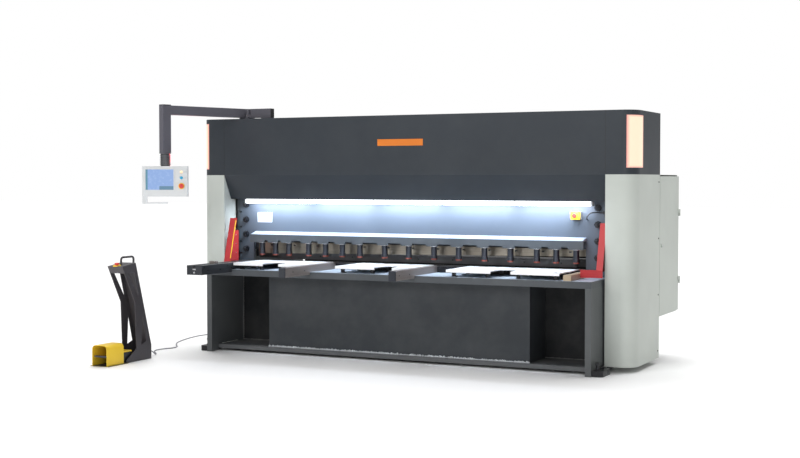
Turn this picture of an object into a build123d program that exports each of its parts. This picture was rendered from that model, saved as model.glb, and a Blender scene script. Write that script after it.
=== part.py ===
"""Hydraulic guillotine shear for sheet metal, with its control pendant and foot pedal station.

Millimetres.  The origin is on the floor, at the centre of the four anchor holes.  +X runs along
the blades to the operator's right, +Y goes from the operator's side to the rear, +Z is up.
"""
from build123d import *
import os
from math import atan2, cos, hypot, pi, radians, sin, tan

os.makedirs("parts", exist_ok=True)

# ---------------------------------------------------------------- driving dimensions: the whole
half_length = 2020.0  # machine's middle to the outer face of a side cover
hood_top = 2058.0
work_height = 790.0  # top of the lower blade and of the sheet plates
face_y = -560.0  # front plane of the side covers and of the hood
gap = 0.3  # between pieces that move past each other
running = 0.05  # radial clearance of a shaft in its bore

# ---------------------------------------------------------------- side frames
frame_inner = half_length - 285.0
frame_t = 30.0
frame_front = face_y + 200.0
frame_rear = face_y + 1330.0
frame_step = face_y + 700.0  # behind this the frame is lower
frame_top = hood_top - 108.0
frame_rear_top = 1500.0
frame_foot = 130.0  # length of each foot of a side frame
frame_lift = 45.0  # the frame's lower edge between its feet
throat_low = 800.0
throat_high = 870.0
throat_depth = 320.0
guide_t = 20.0
guide_width = 45.0
guide_low = 1050.0
guide_high = 1480.0

# ---------------------------------------------------------------- table
table_half = half_length - 257.0
table_front = face_y - 301.0
table_top = 732.0
table_t = 55.0
table_rear = face_y + 240.0
leg_t = 50.0
leg_foot = 107.0
leg_lift = 60.0
floor_plate_low = 22.0
floor_plate_t = 35.0
floor_plate_front = face_y - 195.0
apron_half = 1210.0
apron_front = face_y - 155.0
apron_t = 6.0
recess_wall = face_y + 212.0
recess_wall_t = 20.0

# ---------------------------------------------------------------- feet
ear_length = 225.0
ear_front = face_y - 285.0
ear_outer = half_length - 170.0
ear_t = 45.0
ear_corner = 30.0
anchor_x = half_length - 214.0
anchor_r = 12.0
anchor_front_y = face_y - 110.0
anchor_rear_y = -anchor_front_y
level_x = half_length - 226.0
level_inset = 55.0  # ear's front edge to the levelling bolt
level_r = 12.0
level_head_r = 18.0
level_head_h = 16.0
level_nut_h = 14.0
level_stand = 32.0  # thread showing between nut and head

# ---------------------------------------------------------------- hood, covers and lamps
cover_inner = half_length - 244.0
cover_low = 45.0
cover_top = 1555.0
cover_depth = 714.0
cover_return = 186.0
cover_t = 4.0
corner_r = 120.0
hood_t = 5.0
hood_lip_z = 1340.0
hood_lip_y = face_y + 110.0
seam = 1.0
lamp_low = 1608.0
lamp_high = hood_top - 40.0
lamp_front_x = half_length - 78.0
lamp_side_y = face_y + 200.0
lamp_t = 16.0

# ---------------------------------------------------------------- rear boxes
box_rear = face_y + 1355.0
box_low = 377.0
box_t = 3.0
door_t = 18.0
door_gap = 2.0
door_edge = 12.0  # box's edge to the door's edge, at the front, top and bottom
hinge_r = 8.0
hinge_pin_r = 4.0
hinge_h = 60.0
hinge_heights = (649.0, 1230.0)
hinge_out = 6.0  # hinge axis outside the door's face
hinge_leaf = 30.0
hinge_leaf_inset = 3.0
latch_r = 14.0
latch_t = 8.0

# ---------------------------------------------------------------- hold-down beam
beam_y = face_y + 190.0
beam_t = 30.0
window_left = 437.0 - half_length
window_right = half_length - 460.0
window_top = 965.0
shelf_top = 1530.0
shelf_t = 30.0
shelf_rear = face_y + 700.0
bolt_x = half_length - 360.0
bolt_heights = (888.0, 1021.0, 1154.0, 1288.0)
bolt_washer_r = 28.0
bolt_washer_t = 6.0
bolt_hex_r = 26.0  # to the corners of the hexagon
bolt_hex_h = 22.0
bolt_end_r = 13.0
bolt_end_h = 14.0

# ---------------------------------------------------------------- finger guard and hold-downs
guard_half = half_length - 454.0
guard_y = face_y + 100.0
guard_t = 6.0
guard_top = 1023.0
guard_tab_low = 952.0
guard_slot_top = 972.0
guard_tab = 104.0
presser_y = face_y + 147.0
presser_x = (-1466, -1327, -1187, -985, -813, -645, -472, -231, -1, 236, 463, 697, 927, 1157, 1324,
             1493)
presser_r = 25.0
presser_top = 1008.0
presser_low = 850.0
presser_head_r = 28.0
presser_head_h = 26.0
pad_low = 838.0
barrel_r = 36.0
barrel_low = 955.0

# ---------------------------------------------------------------- blades and cutting beam
blade_left = 460.0 - half_length
blade_right = half_length - 475.0
lower_blade_t = 30.0
seat_front = face_y + 150.0
plate_t = 8.0
upper_blade_t = 25.0
upper_blade_top = 950.0
upper_blade_low = 848.0
rake_rise = 45.0  # the upper blade's edge climbs this much from left to right
blade_screw_r = 8.0
blade_screw_pitch = 236.0
blade_screw_count = 13
cutting_plate_t = 40.0
cutting_low = 900.0
cutting_top = 1400.0
cutting_half = frame_inner - 1.0
rib_t = 30.0
rib_depth = 115.0
rib_low = 1000.0
rib_half = frame_inner - 51.0
rib_count = 7
rib_pitch = 520.0
rib_plate_t = 20.0
rib_setback = 5.0

# ---------------------------------------------------------------- hydraulics
ram_x = half_length - 620.0
ram_r = 75.0
ram_low = 1470.0
ram_high = hood_top - 198.0
ram_flange_r = 105.0
ram_flange_t = 25.0
ram_rod_r = 45.0
ram_rod_top = hood_top - 298.0
ram_bore_top = hood_top - 248.0
ram_y = face_y + 360.0
cap_r = 35.0
cap_h = 30.0
tank_half = 600.0
tank_front = face_y + 330.0
tank_rear = face_y + 650.0
tank_h = 300.0
tank_corner = 12.0
motor_x = 820.0
motor_r = 110.0
motor_h = 280.0
pump_r = 60.0
pump_h = 90.0
motor_foot_t = 14.0
fin_count = 7
fin_pitch = 26.0
fin_t = 8.0
fin_r = 118.0

# ---------------------------------------------------------------- back gauge
gauge_bar_half = half_length - 600.0
gauge_bar_y = face_y + 340.0
gauge_bar_t = 40.0
gauge_low = 795.0
gauge_top = 860.0
gauge_tube_y = face_y + 450.0
gauge_tube_t = 70.0
gauge_arm_x = half_length - 820.0
gauge_arm_t = 60.0
rail_x = frame_inner - 75.0
rail_w = 40.0
rail_low = 880.0
rail_h = 40.0
rail_front = face_y + 440.0
rail_rear = face_y + 1200.0
rail_bracket_t = 40.0
carriage_length = 120.0
screw_z = 905.0
screw_r = 16.0
screw_relief = 4.0  # round the screw where it meets its motor
screw_ahead = 10.0  # of the back gauge's tube
nut_half = 40.0
nut_top = 945.0
crossbar_t = 40.0
crossbar_low = 860.0
crossbar_top = 960.0
servo_half = 45.0
servo_length = 95.0
servo_round = 8.0

# ---------------------------------------------------------------- rear slide for cut sheets
slide_front = (face_y + 250.0, 660.0)
slide_rear = (face_y + 1150.0, 250.0)
slide_t = 8.0

# ---------------------------------------------------------------- sheet plates, posts and arms
plate_front = table_front + 11.0
plate_lip = 14.0
lip_t = 4.0
recess_depth = 235.0
sheet_plate_spans = ((-1490.0, -775.0, -1191.0, -1035.0), (-480.0, 205.0, -109.0, 55.0),
                     (541.0, 1500.0, 927.0, 1097.0))  # left, right, recess left, recess right
post_w = 26.0
post_inset = 45.0
post_front = face_y - 230.0
post_rear = face_y + 60.0
arm_w = 60.0
arm_drop = 80.0  # arm's depth ahead of the table
arm_rear = face_y + 150.0
arm_middles = (-745.0, 235.0)
arm_fronts = (face_y - 700.0, face_y - 640.0)
arm_cap_t = 12.0
squaring_left = 370.0 - half_length
squaring_right = 520.0 - half_length
squaring_front = face_y - 760.0
slot_w = 14.0
slot_depth = 12.0
slot_head_w = 26.0
slot_head_h = 9.0
stop_y = face_y - 470.0
stop_length = 46.0
stop_w = 60.0
stop_h = 22.0
stub_left = half_length - 487.0
stub_right = half_length - 424.0
stub_top = 777.0

# ---------------------------------------------------------------- red throat guards
wing_inner = half_length - 295.0  # right wing's inner edge
wing_t = 8.0
wing_low = 785.0
wing_top = 1170.0
wing_low_y = face_y - 66.0
wing_top_y = face_y + 40.0
wing_rear_z = 900.0
wing_rear_top_y = face_y + 150.0
wing_toe_left = half_length - 423.0
wing_toe_low = 745.0
wing_toe_top = 806.0
left_wing_inner = 348.0 - half_length
left_wing_outer = 282.0 - half_length
left_wing_rear_y = face_y + 73.0
left_wing_web_top = 1060.0

# ---------------------------------------------------------------- light bar, plate, emergency stop
light_half = half_length - 400.0
light_y = face_y + 118.0
light_depth = 60.0
light_low = 1304.0
light_count = 5
light_joint = 10.0
label_x = (480.0 - half_length, 631.0 - half_length)
label_z = (1131.0, 1220.0)
label_t = 3.0
stop_box_x = (half_length - 576.0, half_length - 499.0)
stop_box_z = (1194.0, 1257.0)
stop_box_depth = 52.0
stop_box_r = 6.0
mushroom_r = 20.0
mushroom_t = 12.0
mushroom_stem_r = 11.0
mushroom_stand = 12.0  # from its seat to the mushroom's underside
mushroom_deep = 6.0  # stem below its seat
mushroom_bore = 16.0
collar_r = 24.0
collar_t = 4.0
lead_r = 4.5
lead_run = ((448.0, 0.0, 1196.0), (448.0, 32.0, 1196.0), (434.0, 44.0, 1226.0),
            (408.0, 42.0, 1249.0), (372.0, 24.0, 1252.0), (340.0, 4.8, 1250.0),
            (316.0, 4.8, 1250.0))  # in from the cover's face, out from the beam, height
clip_w = 24.0
clip_t = 14.0
gland_r = 11.0
gland_tip_r = 6.5
gland_length = 30.0

# ---------------------------------------------------------------- pendant
pivot_x = 405.0 - half_length
pivot_y = face_y + 135.0
arm_tube_w = 60.0
arm_tube_h = 80.0
arm_top = hood_top + 92.0
arm_length = 882.0
arm_heading = 250.3  # degrees, from +X
roof_arm_right = 670.0 - half_length
roof_arm_left = 460.0 - half_length
hub_r = 42.0
hub_split = hood_top + 42.0
hub_clear = 6.0
pivot_pin_r = 15.0
pivot_pin_top = hood_top + 84.0
roof_foot_t = 12.0
roof_foot_w = 100.0
column_low = 1737.0
column_cap_t = 7.0
column_socket = 40.0
panel_heading = 32.0  # degrees the panel's front is turned from -Y towards +X
panel_w = 390.0
panel_low = 1370.0
panel_high = 1630.0
panel_front_d = 42.0
panel_back_d = 30.0
panel_r = 14.0
coupling_r = 40.0
coupling_rib_r = 46.0
coupling_ribs = 5
screen_x = (-165.0, 71.0)
screen_z = (1428.0, 1602.0)
screen_t = 4.0
button_x = 138.0
start_z = 1580.0
blue_z = 1530.0
estop_z = 1460.0
button_r = 13.0
button_out = 6.0
button_in = 12.0
button_travel = 4.0
tray_w = 215.0
tray_post_w = 42.0
tray_drop = 62.0
tray_t = 14.0
tray_depth = 34.0

# ---------------------------------------------------------------- pedal station and foot switch
station_left = -half_length - 48.0
station_right = 102.0 - half_length
station_t = 4.0
station_profile = ((-1288.0, 801.0), (-1107.0, 824.0), (-902.0, 119.0), (-902.0, 0.0),
                   (-1239.0, 0.0), (-1239.0, 22.0), (-1105.0, 107.0), (-1122.0, 494.0))
station_window_high = ((-1202.0, 737.0), (-1130.0, 743.0), (-1072.0, 535.0))
station_window_low = ((-1023.0, 370.0), (-969.0, 155.0), (-1038.0, 131.0))
handle_front = -1205.0
handle_rear = -1037.0
handle_top = 880.0
handle_r = 9.0
handle_seat = 62.0  # down the back from the top edge to the handle's rear foot
handle_reach = 48.0
handle_bend = 26.0
panel_strip_h = 59.0
switch_half = 75.0
switch_front = -1492.0
switch_hood_rear = -1276.0
switch_top = 172.0
switch_tail_top = 100.0
switch_t = 4.0
base_half = 95.0
base_t = 3.0
switch_round = 34.0
tail_length = 126.0
tail_inset = 12.0  # between the tail and the station's side
pedal_r = 6.0
pedal_y = -1306.0
pedal_z = 44.0
pedal_hub_r = 13.0
pedal_length = 166.0
pedal_front_z = 84.0
pedal_t = 12.0
pedal_under = 4.0  # treadle's underside below its hinge axis

# ---------------------------------------------------------------- pedal cord
cord_r = 4.7
cord_run = (  # out from the left cover's face (negative: inside it), along Y, height
    (-27, -1432, 61), (-27, -1388, 61), (-20, -1332, 36), (-2, -1268, 4.7), (52, -1190, 4.7),
    (132, -1118, 4.7), (176, -1022, 4.7), (166, -924, 4.7), (120, -842, 4.7), (140, -752, 4.7),
    (212, -668, 4.7), (284, -572, 4.7), (342, -462, 4.7), (382, -338, 4.7), (416, -214, 4.7),
    (440, -86, 4.7), (454, 44, 4.7), (436, 168, 4.7), (366, 270, 4.7), (264, 338, 4.7),
    (144, 376, 4.7), (20, 392, 4.7), (-76, 388, 16), (-136, 382, 66), (-184, 380, 92),
    (-224, 380, 92),
)
cord_points = [(-half_length - x, y, z) for x, y, z in cord_run]


# ---------------------------------------------------------------- helpers
TURN = {"X": (0, 90, 0), "Y": (90, 0, 0), "Z": (0, 0, 0)}


def save(piece, label):
    """Label a finished piece and write it as one STEP file."""
    piece.part.label = label
    export_step(piece.part, f"parts/{label}.step")


def save_group(label, *pieces):
    """Write pieces that share one node, each a separate solid even where their faces touch."""
    shared = Compound(label=label, children=[s for piece in pieces for s in piece.part.solids()])
    export_step(shared, f"parts/{label}.step")


def block(x, y, z, mode=Mode.ADD):
    """A box between pairs of limits, in the part that is open."""
    with Locations((sum(x) / 2, sum(y) / 2, sum(z) / 2)):
        Box(x[1] - x[0], y[1] - y[0], z[1] - z[0], mode=mode)


def rod(middle, radius, length, axis="Z", mode=Mode.ADD):
    """A cylinder about its middle, in the part that is open."""
    with Locations(middle):
        Cylinder(radius, length, rotation=TURN[axis], mode=mode)


def prism(plane, points, depth, mode=Mode.ADD):
    """A straight-sided outline drawn on a plane and pulled out of it, in the part that is open."""
    with BuildSketch(plane) as outline:
        with BuildLine():
            Polyline(*points, close=True)
        make_face()
    extrude(outline.sketch, amount=depth, mode=mode)


def span(side, near, far):
    """Limits along X of something mirrored to the machine's left (-1) or right (1) end."""
    return tuple(sorted((side * near, side * far)))


def side_profile(x, points, thickness, mode=Mode.ADD):
    """A plate in a YZ plane that starts at x."""
    prism(Plane.YZ.offset(x), points, thickness, mode)


def front_profile(y, points, thickness, mode=Mode.ADD):
    """A plate in an XZ plane whose front face is at y."""
    prism(Plane.XZ.offset(-y - thickness), points, thickness, mode)


def corner_sketch(side, inset, rear):
    """Plan of an end cover: a rectangle with its outer front corner rounded."""
    outer = half_length - inset
    x = span(side, cover_inner + inset, outer)
    y = (face_y + inset, rear - inset)
    with BuildSketch() as plan:
        with Locations((sum(x) / 2, sum(y) / 2)):
            Rectangle(x[1] - x[0], y[1] - y[0])
        front = plan.vertices().group_by(Axis.Y)[0]
        fillet(front.sort_by(Axis.X)[-1 if side > 0 else 0], corner_r - inset)
    return plan.sketch


# ---------------------------------------------------------------- frame
def side_frame(side):
    """C-shaped frame plate with its throat and the guide bars of the cutting beam."""
    x = span(side, frame_inner, frame_inner + frame_t)
    outline = ((frame_front, 0), (frame_front + frame_foot, 0),
               (frame_front + frame_foot, frame_lift), (frame_rear - frame_foot, frame_lift),
               (frame_rear - frame_foot, 0), (frame_rear, 0), (frame_rear, frame_rear_top),
               (frame_step, frame_rear_top + frame_lift), (frame_step, frame_top),
               (frame_front, frame_top))
    guide_x = span(side, frame_inner - guide_width, frame_inner)
    beam_front = table_rear + gap + upper_blade_t
    with BuildPart() as plate:
        side_profile(x[0], outline, frame_t)
        block(x, (frame_front, frame_front + throat_depth), (throat_low, throat_high),
              Mode.SUBTRACT)
        block(guide_x, (beam_front - gap - guide_t, beam_front - gap), (guide_low, guide_high))
        beam_back = beam_front + cutting_plate_t
        block(guide_x, (beam_back + gap, beam_back + gap + guide_t), (guide_low, guide_high))
    return plate


def table_plate():
    """Thick table top, with a tongue at its rear between the side frames."""
    with BuildPart() as table:
        block((-table_half, table_half), (table_front, frame_front), (table_top - table_t, table_top))
        block((-frame_inner + gap, frame_inner - gap), (frame_front, table_rear),
              (table_top - table_t, table_top))
        chamfer(table.edges().group_by(Axis.Y)[0], 2)
    return table


def table_legs():
    """End plates under the table, each standing on a foot at its front."""
    low = table_top - table_t
    outline = ((table_front, 0), (table_front + leg_foot, 0), (table_front + leg_foot, leg_lift),
               (frame_front, leg_lift), (frame_front, low), (table_front, low))
    with BuildPart() as legs:
        for side in (-1, 1):
            side_profile(span(side, table_half - leg_t, table_half)[0], outline, leg_t)
        chamfer(legs.edges().filter_by(Axis.Z).group_by(Axis.Y)[0], 2)
    return legs


def apron():
    """Folded front plate under the middle of the table, with returns to the recess wall."""
    z = (floor_plate_low + floor_plate_t, table_top - table_t)
    with BuildPart() as folded:
        block((-apron_half, apron_half), (apron_front, recess_wall), z)
        block((-apron_half + apron_t, apron_half - apron_t), (apron_front + apron_t, recess_wall),
              z, Mode.SUBTRACT)
    return folded


def bottom_plate():
    """Floor plate between the end legs, under the apron."""
    reach = table_half - leg_t
    with BuildPart() as plate:
        block((-reach, reach), (floor_plate_front, recess_wall + recess_wall_t),
              (floor_plate_low, floor_plate_low + floor_plate_t))
        chamfer(plate.edges().group_by(Axis.Y)[0], 1.5)
    return plate


def recess_wall_plate():
    """Wall behind the apron and the two knee recesses."""
    reach = table_half - leg_t
    with BuildPart() as wall:
        block((-reach, reach), (recess_wall, recess_wall + recess_wall_t),
              (floor_plate_low + floor_plate_t, table_top - table_t))
    return wall


def foot_ears():
    """Anchor ears welded outside the front legs and the rear of the side frames."""
    rear_y = anchor_rear_y - (anchor_front_y - ear_front)
    with BuildPart() as ears:
        for side in (-1, 1):
            for start, near in ((ear_front, table_half), (rear_y, frame_inner + frame_t)):
                x = span(side, near, ear_outer)
                block(x, (start, start + ear_length), (0, ear_t))
        outer = [e for e in ears.edges().filter_by(Axis.Z) if abs(e.center().X) > ear_outer - 1]
        fillet(outer, ear_corner)
        for side in (-1, 1):
            for hole_y in (anchor_front_y, anchor_rear_y):
                rod((side * anchor_x, hole_y, ear_t / 2), anchor_r, ear_t, mode=Mode.SUBTRACT)
            for start in (ear_front, rear_y):
                rod((side * level_x, start + level_inset, ear_t / 2), level_r, ear_t,
                    mode=Mode.SUBTRACT)
    return ears


def levelling_bolts():
    """Hexagon-headed levelling screws with their lock nuts, one in each ear."""
    rear_y = anchor_rear_y - (anchor_front_y - ear_front)
    head_low = ear_t + level_nut_h + level_stand
    with BuildPart() as bolts:
        spots = [(side * level_x, start + level_inset)
                 for side in (-1, 1) for start in (ear_front, rear_y)]
        with BuildSketch() as shank:
            with Locations(*spots):
                Circle(level_r - running)
        extrude(shank.sketch, amount=head_low)
        for low, height in ((ear_t, level_nut_h), (head_low, level_head_h)):
            with BuildSketch(Plane.XY.offset(low)) as hexagon:
                with Locations(*spots):
                    RegularPolygon(level_head_r, 6)
            extrude(hexagon.sketch, amount=height)
    return bolts


# ---------------------------------------------------------------- hood, lamps and covers
def hood_front():
    """Folded hood between the end sections: front, roof, rear drop and sloped chin."""
    rear = face_y + cover_depth
    slope = atan2(hood_lip_y - face_y, cover_top - hood_lip_z)
    inner_lip = hood_lip_y + hood_t * (1 - sin(slope)) / cos(slope)
    inner_fold = face_y + hood_t
    fold_z = cover_top + hood_t * tan(slope / 2)
    outline = ((face_y, cover_top), (face_y, hood_top), (rear, hood_top), (rear, cover_top),
               (rear - hood_t, cover_top), (rear - hood_t, hood_top - hood_t),
               (inner_fold, hood_top - hood_t), (inner_fold, fold_z),
               (inner_lip, hood_lip_z + hood_t), (beam_y, hood_lip_z + hood_t),
               (beam_y, hood_lip_z), (hood_lip_y, hood_lip_z))
    reach = cover_inner - seam
    with BuildPart() as hood:
        side_profile(-reach, outline, 2 * reach)
    return hood


def hood_ends():
    """End sections of the hood, rounded at their outer front corners and cut for the lamps."""
    rear = face_y + cover_depth
    hollow_h = hood_top - cover_top - 2 * hood_t
    with BuildPart() as shells:
        for side in (-1, 1):
            with BuildSketch(Plane.XY.offset(cover_top)) as outside:
                add(corner_sketch(side, 0, rear))
            extrude(outside.sketch, amount=hood_top - cover_top)
        for side in (-1, 1):
            with BuildSketch(Plane.XY.offset(cover_top + hood_t)) as inside:
                add(corner_sketch(side, hood_t, rear))
            extrude(inside.sketch, amount=hollow_h, mode=Mode.SUBTRACT)
            block(span(side, cover_inner, cover_inner + hood_t),
                  (face_y + cover_return, rear - hood_t),
                  (cover_top + hood_t, hood_top - hood_t), Mode.SUBTRACT)
            block(span(side, lamp_front_x, half_length), (face_y, lamp_side_y),
                  (lamp_low, lamp_high), Mode.SUBTRACT)
    return shells


def corner_lamps():
    """Curved light diffusers let into the outer front corners of the hood."""
    rear = face_y + cover_depth
    with BuildPart() as lamps:
        for side in (-1, 1):
            x = span(side, lamp_front_x, half_length)
            with BuildSketch(Plane.XY.offset(lamp_low)) as plan:
                add(corner_sketch(side, 0, rear))
                add(corner_sketch(side, lamp_t, rear), mode=Mode.SUBTRACT)
                with Locations((sum(x) / 2, (face_y + lamp_side_y) / 2)):
                    Rectangle(x[1] - x[0], lamp_side_y - face_y, mode=Mode.INTERSECT)
            extrude(plan.sketch, amount=lamp_high - lamp_low)
    return lamps


def side_cover(side):
    """Tall end cover with a rounded front corner, open behind, capped at top and bottom."""
    rear = face_y + cover_depth
    with BuildPart() as shell:
        with BuildSketch(Plane.XY.offset(cover_low)) as outside:
            add(corner_sketch(side, 0, rear))
        extrude(outside.sketch, amount=cover_top - cover_low)
        with BuildSketch(Plane.XY.offset(cover_low + cover_t)) as inside:
            add(corner_sketch(side, cover_t, rear))
        extrude(inside.sketch, amount=cover_top - cover_low - 2 * cover_t, mode=Mode.SUBTRACT)
        inner_z = (cover_low + cover_t, cover_top - cover_t)
        block(span(side, cover_inner, cover_inner + cover_t),
              (face_y + cover_return, rear), inner_z, Mode.SUBTRACT)
        block(span(side, cover_inner, half_length - cover_t), (rear - cover_t, rear), inner_z,
              Mode.SUBTRACT)
        for low in (cover_low, cover_top - cover_t):
            block(span(side, frame_inner + frame_t, cover_inner), (frame_front, rear),
                  (low, low + cover_t))
    return shell


def rear_box_shell(side, outer):
    """Sheet box behind a side cover, open on its outer side where outer leaves room for a door."""
    x = span(side, frame_inner + frame_t, outer)
    y = (face_y + cover_depth, box_rear)
    z = (box_low, cover_top)
    with BuildPart() as shell:
        block(x, y, z)
        hollow_outer = outer - box_t if outer > half_length - door_t else outer
        block(span(side, frame_inner + frame_t + box_t, hollow_outer), (y[0] + box_t, y[1] - box_t),
              (z[0] + box_t, z[1] - box_t), Mode.SUBTRACT)
    return shell


def rear_box_left():
    """Closed box at the left rear."""
    return rear_box_shell(-1, half_length)


hinge_x = half_length + hinge_out
hinge_y = box_rear - hinge_r - 1
door_y = (face_y + cover_depth + door_edge, hinge_y - hinge_r)
door_z = (box_low + door_edge, cover_top - door_edge)
door_inner = half_length - door_t


def cabinet_shell():
    """Electrical cabinet at the right rear, with the fixed halves and pins of its hinges."""
    with BuildPart() as shell:
        add(rear_box_shell(1, door_inner - door_gap).part)
        block((frame_inner + frame_t + box_t, door_inner - door_gap),
              (box_rear - box_t, box_rear), (box_low, cover_top))
        for height in hinge_heights:
            low = height - hinge_h / 2
            rod((hinge_x, hinge_y, low + hinge_h / 4), hinge_r, hinge_h / 2 - gap)
            block((door_inner - door_gap, hinge_x), (hinge_y, box_rear),
                  (low + gap / 2, height - gap / 2 - gap / 2))
            rod((hinge_x, hinge_y, height), hinge_pin_r, hinge_h - 2)
    return shell


def cabinet_door():
    """Hinged cabinet door with the moving halves of its hinges, a latch and a stiffened edge."""
    with BuildPart() as door:
        block((door_inner, half_length), door_y, door_z)
        chamfer(door.faces().sort_by(Axis.X)[-1].edges(), 2)
        for height in hinge_heights:
            barrel = (height + gap / 2, height + hinge_h / 2)
            middle = (hinge_x, hinge_y, sum(barrel) / 2)
            rod(middle, hinge_r, barrel[1] - barrel[0])
            block((half_length - hinge_leaf_inset, hinge_x), (door_y[1] - hinge_leaf, hinge_y), barrel)
            rod(middle, hinge_pin_r + running, barrel[1] - barrel[0] + 1, mode=Mode.SUBTRACT)
        latch_y = door_y[0] + 3 * latch_r
        rod((half_length + latch_t / 2, latch_y, sum(door_z) / 2), latch_r, latch_t, "X")
    return door


# ---------------------------------------------------------------- hold-down beam and its pieces
def hold_down_beam():
    """Front plate over the blades, with the window for them, and the shelf that carries the rams."""
    with BuildPart() as beam:
        block((-frame_inner, frame_inner), (beam_y, beam_y + beam_t), (table_top, shelf_top))
        block((window_left, window_right), (beam_y, beam_y + beam_t), (table_top, window_top),
              Mode.SUBTRACT)
        block((-frame_inner, frame_inner), (beam_y + beam_t, shelf_rear),
              (shelf_top - shelf_t, shelf_top))
        for side in (-1, 1):
            rod((side * ram_x, ram_y, shelf_top - shelf_t / 2), ram_r, shelf_t,
                mode=Mode.SUBTRACT)
    return beam


def clamp_bolts():
    """Studs with nuts and washers that clamp the beam to the frame, in a column at each end."""
    face = Plane(origin=(0, beam_y, 0), x_dir=(1, 0, 0), z_dir=(0, -1, 0))
    spots = [(side * bolt_x, height) for side in (-1, 1) for height in bolt_heights]
    with BuildPart() as bolts:
        with BuildSketch(face) as washers:
            with Locations(*spots):
                Circle(bolt_washer_r)
        extrude(washers.sketch, amount=bolt_washer_t)
        with BuildSketch(face) as nuts:
            with Locations(*spots):
                RegularPolygon(bolt_hex_r, 6)
        extrude(nuts.sketch, amount=bolt_washer_t + bolt_hex_h)
        with BuildSketch(face) as ends:
            with Locations(*spots):
                Circle(bolt_end_r)
        extrude(ends.sketch, amount=bolt_washer_t + bolt_hex_h + bolt_end_h)
        chamfer(bolts.edges().filter_by(GeomType.CIRCLE).group_by(Axis.Y)[0], 2)
    return bolts


def finger_guard():
    """Angle over the hold-downs: ledge on top, front lip with a tab before each of them."""
    with BuildPart() as guard:
        block((-guard_half, guard_half), (guard_y, beam_y), (guard_top - guard_t, guard_top))
        block((-guard_half, guard_half), (guard_y, guard_y + guard_t),
              (guard_tab_low, guard_top - guard_t))
        ends = zip(presser_x[:-1], presser_x[1:])
        for left, right in ends:
            slot = (left + guard_tab / 2, right - guard_tab / 2)
            block(slot, (guard_y, guard_y + guard_t), (guard_tab_low, guard_slot_top),
                  Mode.SUBTRACT)
    return guard


def hold_down_cylinders():
    """Short cylinders behind the guard, one for each hold-down."""
    top = guard_top - guard_t
    with BuildPart() as barrels:
        with BuildSketch(Plane.XY.offset(barrel_low)) as rings:
            with Locations(*[(x, presser_y) for x in presser_x]):
                Circle(barrel_r)
                Circle(presser_r + running, mode=Mode.SUBTRACT)
        extrude(rings.sketch, amount=top - barrel_low)
    return barrels


def hold_down_plungers():
    """Plungers that clamp the sheet, each with a wider head."""
    with BuildPart() as plungers:
        spots = [(x, presser_y) for x in presser_x]
        with BuildSketch(Plane.XY.offset(presser_low)) as shafts:
            with Locations(*spots):
                Circle(presser_r)
        extrude(shafts.sketch, amount=presser_top - presser_low)
        with BuildSketch(Plane.XY.offset(presser_low)) as heads:
            with Locations(*spots):
                Circle(presser_head_r)
        extrude(heads.sketch, amount=presser_head_h)
    return plungers


def hold_down_pads():
    """Soft pads under the plungers."""
    with BuildPart() as pads:
        with BuildSketch(Plane.XY.offset(pad_low)) as discs:
            with Locations(*[(x, presser_y) for x in presser_x]):
                Circle(presser_r)
        extrude(discs.sketch, amount=presser_low - pad_low)
    return pads


# ---------------------------------------------------------------- blades and cutting beam
def lower_blade():
    """Fixed blade, flush with the sheet plates."""
    with BuildPart() as blade:
        block((blade_left, blade_right), (table_rear - lower_blade_t, table_rear),
              (table_top, work_height))
    return blade


def blade_seat():
    """Bar on the table that backs the lower blade and carries the rear of the sheet plates."""
    with BuildPart() as seat:
        block((blade_left, blade_right), (seat_front, table_rear - lower_blade_t),
              (table_top, work_height - plate_t))
    return seat


blade_front = table_rear + gap


def upper_blade():
    """Raked blade on the cutting beam, drilled for its screws."""
    outline = ((blade_left, upper_blade_low), (blade_right, upper_blade_low + rake_rise),
               (blade_right, upper_blade_top), (blade_left, upper_blade_top))
    screw_z_mid = (cutting_low + upper_blade_top) / 2
    with BuildPart() as blade:
        front_profile(blade_front, outline, upper_blade_t)
        for index in range(blade_screw_count):
            x = (index - (blade_screw_count - 1) / 2) * blade_screw_pitch
            rod((x, blade_front + upper_blade_t / 2, screw_z_mid), blade_screw_r, upper_blade_t,
                "Y", Mode.SUBTRACT)
    return blade


def cutting_beam():
    """Ribbed beam that carries the upper blade between the guide bars."""
    front = blade_front + upper_blade_t
    rear = front + cutting_plate_t
    with BuildPart() as beam:
        block((-cutting_half, cutting_half), (front, rear), (cutting_low, cutting_top))
        for low in (rib_low, cutting_top - rib_t):
            block((-rib_half, rib_half), (rear, rear + rib_depth), (low, low + rib_t))
        for index in range(rib_count):
            x = (index - (rib_count - 1) / 2) * rib_pitch
            block((x - rib_plate_t / 2, x + rib_plate_t / 2), (rear, rear + rib_depth - rib_setback),
                  (rib_low, cutting_top))
    return beam


def main_cylinders():
    """Hydraulic rams hung through the shelf, with their flanges on it."""
    with BuildPart() as rams:
        for side in (-1, 1):
            rod((side * ram_x, ram_y, (ram_low + ram_high) / 2), ram_r - gap, ram_high - ram_low)
            rod((side * ram_x, ram_y, shelf_top + ram_flange_t / 2), ram_flange_r, ram_flange_t)
        for side in (-1, 1):
            rod((side * ram_x, ram_y, (ram_low + ram_bore_top) / 2), ram_rod_r + running,
                ram_bore_top - ram_low, mode=Mode.SUBTRACT)
    return rams


def cylinder_rods():
    """Ram rods that push the cutting beam down."""
    with BuildPart() as rods:
        for side in (-1, 1):
            rod((side * ram_x, ram_y, (cutting_top + ram_rod_top) / 2), ram_rod_r,
                ram_rod_top - cutting_top)
    return rods


def oil_tank():
    """Oil tank on the shelf, inside the hood."""
    with BuildPart() as tank:
        block((-tank_half, tank_half), (tank_front, tank_rear), (shelf_top, shelf_top + tank_h))
        fillet(tank.edges().filter_by(Axis.Z), tank_corner)
        rod((-tank_half / 2, (tank_front + tank_rear) / 2, shelf_top + tank_h + cap_h / 2), cap_r,
            cap_h)
    return tank


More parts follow.
